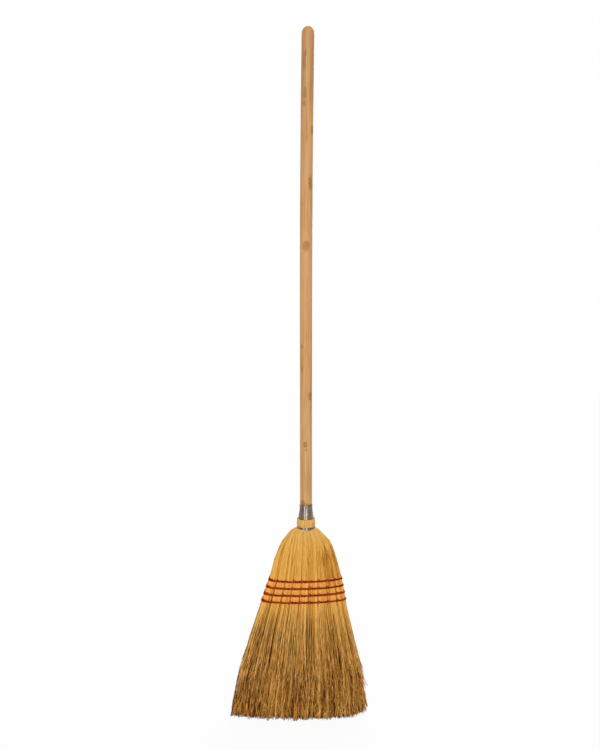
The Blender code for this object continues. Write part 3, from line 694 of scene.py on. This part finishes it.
# Dark straws that come up between the others and dive under them again, by tuft: how many,
# between which heights in millimetres and between which places across the tuft. Then the
# tuft with some in its collar, and the tuft with bright ones down the middle: their place
# across, slant, height of the tip and thickness
DARK_STRAWS = (
    ((2, 362, 308, 0.2, 1),),
    ((2, 366, 312, 0, 1),),
    ((3, 352, 292, 0, 1),),
    ((3, 330, 262, 0, 1),),
    ((6, 345, 262, 0, 1),),
    ((9, 362, 262, 0, 1),),
    ((30, 374, 250, 0, 1),),
    ((50, 374, 236, 0, 0.6), (24, 370, 250, 0.5, 1)),
    ((56, 370, 250, 0, 1),),
)
COLLAR_TUFT = 6
BRIGHT_TUFT = 4
BRIGHT_STRAWS = (
    (0.7, 0.34, 52, 1.1),
    (0.65, 0.3, 105, 0.95),
    (0.75, 0.22, 130, 0.95),
)
# Fibres that stray past the right edge, and tips that hang lowest: tuft, how many, where
# they start and end across the front and in height, and how far forwards, in millimetres
STRAYS = (
    (8, 2, 125.5, 92, 134, 70.5, 6),
    (8, 3, 127.5, 84, 139.8, 59, 6),
    (8, 2, 131, 45, 138.6, 27, 6),
    (8, 12, 131, 56, 139.2, 16, 6),
    (8, 7, 131, 42, 137.2, 6, 6),
    (1, 7, -104, 32, -100, 2.6, 26.2),
    (1, 5, -84, 30, -80, 2, 26.4),
    (1, 12, -65, 34, -61, 0.3, 28.2),
    (2, 2, -50, 24, -42.5, 1.5, 25.8),
    (3, 6, -33, 30, -30, 0.5, 28),
    (3, 3, -22, 26, -21, 0.6, 27.4),
    (4, 12, -6.5, 34, -8, 0.3, 28.6),
    (4, 12, -4, 30, -4.5, 0.4, 28.3),
    (4, 10, 10, 30, 13.5, 0.6, 26.8),
    (4, 8, 14, 28, 17.5, 1.2, 26.4),
    (7, 3, 84, 24, 86, 1, 23),
)


# Fine branches of a row of locks: how much lighter, how many, their rings, how many rings
# above the tip they start, and their reach and radius in millimetres
FINE_BRANCHES = ((0, 60, 6, 7, 3, 0.5), (0, 34, 8, 9.5, 5, 0.42), (0.15, 40, 7, 4.5, 2.4, 0.48))
COARSE_BRANCHES = ((0.45, 50, 7, 9.5, 8, 0.72), (-0.6, 56, 7, 9.5, 7, 0.74))


def dark_straws(tuft, side, tops, feet, across, slant, chance):
    """Thin dark straws that show only between their tops and feet, given in millimetres."""
    share = np.linspace(0.0, 1.0, 9)
    z = (tops + (feet - tops) * share) * MM
    radii = chance.uniform(0.7, 1.2, tops.shape) * np.interp(share, (0.0, 0.4, 1.0), (0.15, 0.45, 0.15)) * MM
    sunk = 0.4 * radii + np.interp(share, (0.0, 0.25, 0.65, 1.0), (1.5, 0.0, 0.0, 1.8)) * MM
    across = across + chance.normal(0, 1.0, tops.shape) * 0.5 * slant * share
    lines = lay_straws(z, tuft, across, sunk, 0.0, side)
    return strands(lines, radii, chance.uniform(-0.6, 0.1, len(tops)), chance)


def stray_fibres(count, x_from, z_from, x_to, z_to, forwards, chance):
    """Fibres of the front that stray out of their lock, between places in millimetres."""
    share = np.linspace(0.0, 1.0, 7)
    x = (x_from + (x_to - x_from) * share ** 1.5 + chance.normal(0, 1.0, (count, 1))) * MM
    z = (z_from + (z_to + chance.uniform(0, 1.5, (count, 1)) - z_from) * share) * MM
    y = -(forwards - 5.0 * (1 - share) ** 2 + chance.uniform(-1.0, 0.3, (count, 1))) * MM
    radii = np.broadcast_to(np.linspace(0.55, 0.35, 7) * MM, x.shape)
    tones = chance.normal(0.62, 0.12, count)
    return tube_mesh(np.stack((x, y, z), axis=-1), radii, tones, 3, np.zeros(count))


def make_tuft(tuft, side, chance, curls):
    """One tuft: its stalks, locks, single straws, fine branches and filling."""
    name = f"straw_tuft_{'front' if side < 0 else 'back'}_{tuft + 1}"
    parts = []

    across = (np.arange(STALKS) + 0.5 + chance.uniform(-0.1, 0.1, STALKS)) / STALKS
    upper = np.concatenate((STALK_LEVELS, SHOULDER_LEVELS[:6]))
    z = np.broadcast_to(upper, (STALKS, len(upper))).copy()
    z[:, 0] -= chance.uniform(0.0, 0.6, STALKS) * MM
    z[:, -1] += curls.uniform(-12.0, 14.0, STALKS) * MM
    radii = np.interp(z, mm(337, 350.1, 374.4, 381.4, 387.1, 398.2),
                      mm(0.75, 0.9, 0.75, 0.7, 0.8, 0.64))
    radii[:, -1] = 0.12 * MM
    sunk = radii + np.where(np.arange(len(upper)) == len(upper) - 1, 1.2 * MM, 0.0)
    lines = lay_straws(z, tuft, across[:, None], sunk, 0.0, side)
    parts.append(tube_mesh(lines, radii, chance.uniform(0.05, 0.95, STALKS), 6, np.zeros(STALKS)))

    for row, (locks_across, per_lock, depth) in enumerate(LOCK_ROWS):
        locks = make_locks(tuft, side, locks_across, chance)
        # Painted shade: each deeper row of locks is made darker
        locks["tone"] -= 0.24 * row
        lines, radii, tones = hang_locks(tuft, side, locks, per_lock, depth * MM, 1.0 + 0.1 * row, chance)
        parts.append(strands(lines, radii, tones, chance))
        for branches, draws in ((FINE_BRANCHES, chance), (COARSE_BRANCHES, curls)) if row < 2 else ():
            for lighter, count, rings, high, reach, radius in branches:
                parts.append(branch_off(
                    lines, tones + lighter, count, rings, high, reach * MM, radius * MM, draws))

    count = 4
    across = chance.uniform(0.05, 0.95, count)
    tips = chance.uniform(5, 100, count) * MM
    thick = chance.uniform(0.7, 1.0, count)
    slants = chance.normal(0, 0.12, count)
    lines, radii = lone_straws(tuft, side, across, slants, tips, -0.1 * MM, thick, chance)
    tones = chance.uniform(0.7, 1.0, count) + 0.7 * weathering_and_end_light(tuft, across, side)
    parts.append(strands(lines, radii, tones, chance, 5))
    parts.append(branch_off(lines, tones, 20, 7, 8.0, 4 * MM, 0.42 * MM, chance))

    count = 16
    across = chance.uniform(0.0, 1.0, count)
    tips = tip_heights(across, tuft, chance.uniform(0, 60, count) * MM, chance)
    slants, thick = chance.normal(0, 0.6, count), np.full(count, 0.55)
    lines, radii = lone_straws(tuft, side, across, slants, tips, 0.4 * MM, thick, chance, BAND_TOP)
    parts.append(strands(lines, radii, chance.uniform(0.3, 1.0, count), chance))

    for count, high, low, left, right in DARK_STRAWS[tuft] if side < 0 else ():
        tops = chance.uniform(low + 40, high, (count, 1))
        feet = chance.uniform(low, high - 50, (count, 1))
        across = chance.uniform(left, right, (count, 1))
        parts.append(dark_straws(tuft, side, np.maximum(tops, feet + 30), feet, across, 0.8, chance))
    if side < 0 and tuft == COLLAR_TUFT:
        tops, feet = curls.uniform(391, 395, (4, 1)), curls.uniform(381, 385, (4, 1))
        parts.append(dark_straws(tuft, side, tops, feet, curls.uniform(0.74, 0.92, (4, 1)), 0.2, curls))
    # Painted shade: thin dark straws along both edges of each tuft, in the grooves between tufts, through
    # the sewn band and just below it
    count = 5
    edge = chance.choice((0.0, 1.0), (count, 1)) + chance.normal(0, 0.02, (count, 1))
    tops, feet = chance.uniform(262, 292, (count, 1)), chance.uniform(205, 226, (count, 1))
    parts.append(dark_straws(tuft, side, tops, feet, edge, 0.0, chance))

    if side < 0 and tuft == BRIGHT_TUFT:
        across, slants, tips, thick = np.array(BRIGHT_STRAWS).T
        lines, radii = lone_straws(tuft, side, across, slants, tips * MM, -0.6 * MM, thick, chance, BAND_TOP)
        parts.append(tube_mesh(lines, radii, np.full(len(across), 1.0), 5, np.zeros(len(across))))

    for owner, *stray in STRAYS:
        if side < 0 and tuft == owner:
            parts.append(stray_fibres(*stray, chance))

    if tuft in (0, TUFTS - 1):
        count = 70
        across = (0.0 if tuft == 0 else 1.0) + chance.uniform(-0.05, 0.05, count)
        tips = tip_heights(across, tuft, chance.uniform(0, 14, count) * MM, chance)
        thick, slants = chance.uniform(0.6, 0.8, count), chance.normal(0, 0.03, count)
        lines, radii = lone_straws(tuft, side, across, slants, tips, 0.0, thick, chance, SHOULDER_LEVELS[0])
        lines[:, :, 1] *= chance.uniform(-0.3, 0.95, (count, 1))
        parts.append(strands(lines, radii, chance.uniform(0.4, 0.95, count), chance))

    # Painted shade: dark filling straws deep in the tuft, which show in the gaps between the locks, lighter
    # towards both ends of the head
    count = 300
    across = chance.random(count)
    tips = tip_heights(across, tuft, (1.0 + chance.random(count) * 9) * MM, chance)
    start = chance.uniform(75.0, 140.0, count) * MM
    z = start[:, None] + (tips - start)[:, None] * np.linspace(0.0, 1.0, 6)
    radii = chance.uniform(0.8, 1.2, count)[:, None] * np.interp(
        z, mm(0, 40, 226), mm(0.3, 0.55, 0.65))
    length = chance.uniform(50, 110, count) * MM
    aside = waves(z, np.full(count, 1.5 * MM), length, any_turn(count, chance))
    sunk = chance.uniform(8.0, 26.0, count)[:, None] * MM
    lines = lay_straws(z, tuft, across[:, None], sunk, aside, side)
    tones = chance.uniform(0.0, 0.35, count) + 0.35 * np.abs(2 * (tuft + across) / TUFTS - 1) ** 10
    parts.append(strands(lines, radii, tones, chance))

    parts.append(tuft_core(2 * tuft / TUFTS - 1, 2 * (tuft + 1) / TUFTS - 1, side))
    return piece_of_tubes(name, parts, straw)


curls = np.random.default_rng(12)
for tuft in range(TUFTS):
    for side, name in ((-1, "straw_front"), (1, "straw_back")):
        piece = make_tuft(tuft, side, chance, curls)
        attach(piece, "root")
        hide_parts(f"{name}_{tuft + 1}")

# Neck winding: galvanised wire wound tight in the straw's groove, where it draws the
# cover straw in against the handle.
WINDING_R = 17.95 * MM
WINDING_WIRE_R = 0.72 * MM
WINDING_TURNS = 4
WINDING_PITCH = 1.42 * MM
WINDING_FOOT = 376.4 * MM
WINDING_STEPS = 64


def add_spline(curve, line):
    """A line of points in a curve."""
    spline = curve.splines.new("POLY")
    spline.points.add(len(line) - 1)
    spline.points.foreach_set("co", np.column_stack((line, np.ones(len(line)))).ravel())
    return spline


def wound_piece(name, curve, lines, material, ply_turn=0.0):
    """A wire or twine along lines of points, made a mesh with closed ends."""
    curve.dimensions = "3D"
    curve.use_fill_caps = True
    for line in lines:
        add_spline(curve, line).points.foreach_set("tilt", ply_turn * np.arange(len(line)))
    piece = add_object(name, curve)
    bpy.ops.object.select_all(action="DESELECT")
    piece.select_set(True)
    bpy.context.view_layer.objects.active = piece
    bpy.ops.object.convert(target="MESH")
    bpy.ops.object.shade_smooth()
    piece = bpy.context.object
    piece.data.materials.append(material)
    return piece


step = np.arange(WINDING_TURNS * WINDING_STEPS + 1) / WINDING_STEPS
turn = step * math.tau + math.pi * 0.7
reach = WINDING_R + 0.15 * MM * np.sin(turn * 2.3)
winding = np.column_stack((
    HANDLE_X + reach * np.cos(turn),
    reach * np.sin(turn),
    WINDING_FOOT + WINDING_PITCH * step + 0.12 * MM * np.sin(turn * 1.7),
))
tucked = winding[[0, -1]].copy()
tucked[:, :2] = (tucked[:, :2] - (HANDLE_X, 0.0)) * 0.9 + (HANDLE_X, 0.0)
winding = np.vstack((tucked[:1], winding, tucked[1:]))
wire = bpy.data.curves.new("winding_wire", "CURVE")
wire.bevel_depth = WINDING_WIRE_R
wire.bevel_resolution = 3
winding_wire = wound_piece("winding_wire", wire, [winding], zinc)
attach(winding_wire, "root")
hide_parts("neck_winding")

# Cone: tinned sheet, rolled and locked in a seam at the front, dulled and rusty at its
# edges. It is slipped over the butts of the straw and nailed to the handle.
TIN_DARK = (0.128, 0.098, 0.072)
TIN_MID = (0.228, 0.184, 0.146)
# Painted light at the cone's left and right ends, and painted highlights: the lamps' reflections at the
# front
TIN_EDGE_LIGHT = (0.4, 0.33, 0.27)
TIN_HIGHLIGHT = (0.71, 0.63, 0.55)
TIN_RUST = (0.15, 0.075, 0.03)
TIN_PAINTED_GLINTS = ((-2.9 * MM, 1.6 * MM), (1.3 * MM, 1.8 * MM))
CONE_FOOT = 398.4 * MM
CONE_TOP = 426.6 * MM
SHEET = 0.4 * MM
CONE_PROFILE = (
    (398.4, 16), (399.6, 15.6), (402, 15.3), (406, 14.9), (410, 14), (414.5, 13.4),
    (419, 13.1), (426.6, 12.98))
SEAM_WIDTH = 3.4 * MM

bpy.ops.mesh.primitive_cylinder_add(
    vertices=96, radius=1.0, depth=CONE_TOP - CONE_FOOT, end_fill_type="NOTHING",
    location=(0.0, 0.0, (CONE_FOOT + CONE_TOP) / 2))
cone = bpy.context.object
cone.name = "cone_sheet"
bpy.ops.object.transform_apply(location=True)
bpy.ops.object.mode_set(mode="EDIT")
for height in np.linspace(CONE_FOOT, CONE_TOP, 19)[1:-1]:
    bpy.ops.mesh.select_all(action="SELECT")
    bpy.ops.mesh.bisect(plane_co=(0.0, 0.0, height), plane_no=(0.0, 0.0, 1.0))
bpy.ops.object.mode_set(mode="OBJECT")
heights, reaches = np.array(CONE_PROFILE).T * MM
for vertex in cone.data.vertices:
    turn = math.atan2(vertex.co.y, vertex.co.x)
    reach = float(np.interp(vertex.co.z, heights, reaches))
    reach += 0.1 * MM * math.sin(3 * turn + 1.0) * math.sin(vertex.co.z * 260)
    seam = reach * math.cos(turn) - 1.2 * MM
    if vertex.co.y < 0 and abs(seam) < SEAM_WIDTH / 2:
        reach += 0.4 * MM * min(1.0, (SEAM_WIDTH / 2 - abs(seam)) / (0.6 * MM))
    lift = 0.0
    if vertex.co.z > CONE_TOP - 0.1 * MM:
        lift = 0.9 * MM * math.cos(turn) + 0.35 * MM * math.sin(5 * turn)
        lift += 0.25 * MM * math.sin(11 * turn + 2.0)
    vertex.co = (HANDLE_X + reach * math.cos(turn), reach * math.sin(turn), vertex.co.z + lift)
wall = cone.modifiers.new("wall", "SOLIDIFY")
wall.thickness = SHEET
wall.offset = -1.0
bpy.ops.object.modifier_apply(modifier=wall.name)
bpy.ops.object.shade_smooth_by_angle(angle=math.radians(40))

tin, tree, shader = new_material("tinned_sheet", 0.42, 1.0)
place = object_place(tree)
drawn = add_node(tree, "Mapping", [("Vector", place), ("Scale", (1.0, 1.0, 0.12))])
scratches = add_noise(tree, drawn.outputs[0], 520.0, 4.0)["Fac"]
patches = add_noise(tree, place, 150.0, 4.0)["Fac"]
colour = add_ramp(tree, patches, (0.35, TIN_DARK), (0.65, TIN_MID))
streaks = spread_range(tree, scratches, 0.3, 0.6, 0.45, 1.0)
# Painted highlights at the front and painted light at both sides
colour = paint_glints_and_edge_light(tree, place, colour, TIN_PAINTED_GLINTS, streaks, TIN_HIGHLIGHT, 10 * MM, 16 * MM, TIN_EDGE_LIGHT)
level = along(tree, place, "Z")
near_foot = spread_range(tree, level, CONE_FOOT, CONE_FOOT + 2.5 * MM, 1.0, 0.0)
near_top = spread_range(tree, level, CONE_TOP - 3 * MM, CONE_TOP)
rust = multiply(tree, reckon(tree, "MAXIMUM", near_foot, near_top), spread_range(tree, patches, 0.4, 0.62))
colour = mix_colours(tree, rust, colour, TIN_RUST)
roughness = spread_range(tree, scratches, 0.3, 0.7, 0.34, 0.55)
put_in(tree, shader, [("Base Color", colour), ("Roughness", roughness)])
add_bump(tree, shader, patches, 0.25, 0.3 * MM)
cone.data.materials.append(tin)
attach(cone, "root")
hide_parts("cone")

# Nails: short flat-headed steel nails with brown oxide, one through the cone's seam and
# one at the back.
OXIDE_DARK = (0.11, 0.085, 0.065)
OXIDE_BROWN = (0.3, 0.235, 0.18)

oxide, tree, shader = new_material("oxidised_nail", 0.55, 1.0)
place = object_place(tree)
specks = add_noise(tree, place, 900.0, 4.0)["Fac"]
colour = add_ramp(tree, specks, (0.35, OXIDE_DARK), (0.65, OXIDE_BROWN))
put_in(tree, shader, [("Base Color", colour)])
dress(["cone_nail_front", "cone_nail_back"], oxide)

# Stitching: four rows of red three-ply twine. In each row the twine goes once round the
# head, and is then sewn over that turn and through the head from gap to gap.
TWINE_R = 1.08 * MM
PLY_TURN = 6.5 * MM
TWINE_STEP = 0.65 * MM
TWINE_BRIGHT = (0.51, 0.028, 0.001)
TWINE_DEEP = (0.17, 0.008, 0.001)
ROW_TILT = 1.7 * MM
ROW_SAG = 2.4 * MM
END_SLOPE = 1.3 * MM
# Along one tuft of a row: share of its width, rise above the row and lift off the straw,
# in millimetres
STITCH = (
    (0.03, 2.3, -0.5),
    (0.09, 1.9, 0.6),
    (0.24, 1.1, 1.3),
    (0.5, 0.9, 1.5),
    (0.76, 0.8, 1.3),
    (0.92, 0.3, 0.6),
    (0.985, -0.3, -0.5),
)
# Through the head in a gap: lift off the straw, and 1 on the side it comes from
THROUGH = ((-3.5, 1), (-9.0, 1), (-9.0, -1), (-3.5, -1))


def smooth_line(points, step):
    """Points a step apart on the smooth curve through the given ones."""
    points = np.asarray(points)
    gaps = np.linalg.norm(np.diff(points, axis=0), axis=1)
    at = np.concatenate(([0.0], np.cumsum(gaps)))
    slopes = np.gradient(points, at, axis=0)
    new = np.linspace(0.0, at[-1], int(at[-1] / step) + 1)
    low = np.searchsorted(at, new, side="right").clip(1, len(at) - 1) - 1
    gap = gaps[low][:, None]
    share = (new - at[low])[:, None] / gap
    rest = 1 - share
    return ((1 + 2 * share) * rest ** 2 * points[low] + share * rest ** 2 * gap * slopes[low]
            + share ** 2 * (3 - 2 * share) * points[low + 1] - share ** 2 * rest * gap * slopes[low + 1])


def on_head(row, rise, place, lift, side):
    """A point of a row's twine: the rows climb to the right and hang in the middle."""
    z = row + ROW_TILT * place + ROW_SAG * (place ** 2 - 0.5) + rise * MM
    x, y = head_place(np.array([z]), np.array([place]), np.array([-lift * MM]), side)
    return (float(x[0]), float(y[0]), z)


def round_end(row, rise, end, out, way):
    """Points round the left (-1) or right (1) end of the head, from front to back, or from
    back to front where way is -1."""
    x, y, z = on_head(row, rise - (2.3 if end > 0 else 0.9), end * 1.0, 0.0, 1)
    return [
        (x + end * out * (1.0 - abs(share) / 3), y * share, z - END_SLOPE * (share + 0.75))
        for share in (-0.75, 0.0, 0.75)
    ][::way]


def belt_line(row):
    """The first turn of twine, laid round the head in the lower half of the row."""
    places = [2 * (tuft + share) / TUFTS - 1 for tuft in range(TUFTS) for share in (0.18, 0.5, 0.82)]
    front, back = ([on_head(row, -1.1, place, 0.85, side) for place in places] for side in (-1, 1))
    start = [on_head(row, -0.9, -0.91, -2.5, 1), on_head(row, -0.9, -0.965, 0.5, 1)]
    start += round_end(row, -1.7, -1, -0.6 * MM, -1)
    end = [on_head(row, -1.2, -0.88, -2.5, 1)]
    return start + front + round_end(row, -1.1, 1, -0.6 * MM, 1) + back[:1:-1] + end


def sewn_line(row, chance):
    """The sewing itself: out along every second tuft, and back over the ones left free."""
    points = [on_head(row, 1.5, -0.93, -2.5, 1), on_head(row, 1.5, -0.965, 0.8, 1)]
    points += round_end(row, 0.2, -1, -0.3 * MM, -1)
    for way in (1, -1):
        for tuft in range(TUFTS)[::way]:
            side = -1 if (tuft % 2 == 0) == (way > 0) else 1
            first, last = tuft > 0, tuft < TUFTS - 1
            stitch = [found for found in STITCH if (first or found[0] > 0.2) and (last or found[0] < 0.8)]
            wobble = chance.normal(0.0, 0.2, 1)[0]
            for share, rise, lift in stitch[::way]:
                points.append(on_head(row, rise + wobble, 2 * (tuft + share) / TUFTS - 1, lift, side))
            gap = tuft + (way > 0)
            if 0 < gap < TUFTS:
                for lift, face in THROUGH:
                    points.append(on_head(row, 0.4 * way, 2 * gap / TUFTS - 1, lift, side * face))
            elif gap == TUFTS:
                points += round_end(row, 0.7, 1, -0.4 * MM, 1)
    points += round_end(row, 1.8, -1, -0.3 * MM, -1)
    for rise, place, lift in ((2.4, -0.955, 0.9), (2.2, -0.9, 0.3), (1.8, -0.87, -2.5)):
        points.append(on_head(row, rise, place, lift, -1))
    return points


turn = math.tau * np.arange(12) / 12
lobes = TWINE_R * (0.86 + 0.14 * np.cos(3 * turn))
ply_curve = bpy.data.curves.new("three_plies", "CURVE")
outline = np.column_stack((lobes * np.cos(turn), -lobes * np.sin(turn), np.zeros(12)))
add_spline(ply_curve, outline).use_cyclic_u = True
plies = add_object("three_plies", ply_curve)

red_twine, tree, shader = new_material("red_twine", 0.8)
place = object_place(tree)
fuzz = add_noise(tree, place, 900.0, 3.0)["Fac"]
wear_and_glint = add_noise(tree, place, 190.0, 3.0)["Fac"]
colour = add_ramp(tree, wear_and_glint, (0.38, TWINE_DEEP), (0.58, TWINE_BRIGHT))
colour = mix_colours(tree, spread_range(tree, fuzz, 0.35, 0.65, 0.35, 0.0), colour, TWINE_DEEP)
put_in(tree, shader, [("Base Color", colour), ("Specular IOR Level", 0.05)])
add_bump(tree, shader, fuzz, 0.4, 0.2 * MM)

for number, row in enumerate(ROW_HEIGHTS, 1):
    curve = bpy.data.curves.new(f"twine_row_{number}", "CURVE")
    curve.bevel_mode = "OBJECT"
    curve.bevel_object = plies
    lines = [smooth_line(points, TWINE_STEP) for points in (belt_line(row), sewn_line(row, chance))]
    piece = wound_piece(f"twine_row_{number}", curve, lines, red_twine, math.tau * TWINE_STEP / PLY_TURN)
    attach(piece, "root")
    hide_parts(f"stitch_row_{number}")
bpy.data.objects.remove(plies)

# Stage: a white floor and backdrop, and soft light from the front and from above.
WORLD_LIGHT = 0.24
FLOOR_WHITE = 0.93


def seen_by_camera(tree):
    """1 where the camera looks, straight or in a mirror or through glass."""
    path = add_node(tree, "LightPath")
    seen = reckon(tree, "MAXIMUM", path.outputs["Is Camera Ray"], path.outputs["Is Glossy Ray"])
    return reckon(tree, "MAXIMUM", seen, path.outputs["Is Transmission Ray"])


bpy.ops.mesh.primitive_plane_add(size=40.0, location=(0.0, 0.0, 0.0))
floor = bpy.context.object
floor.name = "floor"
paper, tree, shader = new_material("white_paper", 0.9)
put_in(tree, shader, [("Base Color", (0.9, 0.9, 0.9, 1.0))])
white = add_node(tree, "Emission", [("Color", (1.0, 1.0, 1.0, 1.0)), ("Strength", 1.0)])
share = multiply(tree, seen_by_camera(tree), FLOOR_WHITE)
both = add_node(tree, "MixShader", [(0, share), (1, shader.outputs[0]), (2, white.outputs[0])])
tree.links.new(both.outputs[0], tree.nodes["Material Output"].inputs["Surface"])
floor.data.materials.append(paper)

world = bpy.data.worlds.new("studio")
bpy.context.scene.world = world
world.use_nodes = True
tree = world.node_tree
strength = spread_range(tree, seen_by_camera(tree), 0.0, 1.0, WORLD_LIGHT, 1.0)
put_in(tree, tree.nodes["Background"], [("Strength", strength), ("Color", (1.0, 1.0, 1.0, 1.0))])


def add_sun(name, energy, angle, turn, tilt):
    """A soft sun that shines down by tilt, from turn degrees round from the front."""
    bpy.ops.object.light_add(type="SUN")
    lamp = bpy.context.object
    lamp.name = name
    lamp.data.energy = energy
    lamp.data.angle = math.radians(angle)
    lamp.rotation_euler = (math.radians(90.0 - tilt), 0.0, math.radians(turn))


add_sun("key_light", 2.27, 14.0, -3.0, 36.0)
add_sun("back_light", 1.3, 50.0, 165.0, 40.0)

# Camera: level, opposite the middle of the broom, as far away as the photograph's
# outline shows.
CAMERA_DISTANCE = 1.15
CAMERA_X = 3.2 * MM
CAMERA_HEIGHT = 689.9 * MM
PIXEL = 2.0422 * MM
LONG_SIDE = 750
SENSOR = 36.0
bpy.ops.object.camera_add(
    location=(CAMERA_X, -CAMERA_DISTANCE, CAMERA_HEIGHT), rotation=(math.pi / 2, 0.0, 0.0))
camera = bpy.context.object
camera.data.sensor_width = SENSOR
camera.data.lens = SENSOR * CAMERA_DISTANCE / (LONG_SIDE * PIXEL)
camera.data.clip_start = 0.05
camera.data.clip_end = 100.0
bpy.context.scene.camera = camera
bpy.context.scene.view_settings.view_transform = "Standard"
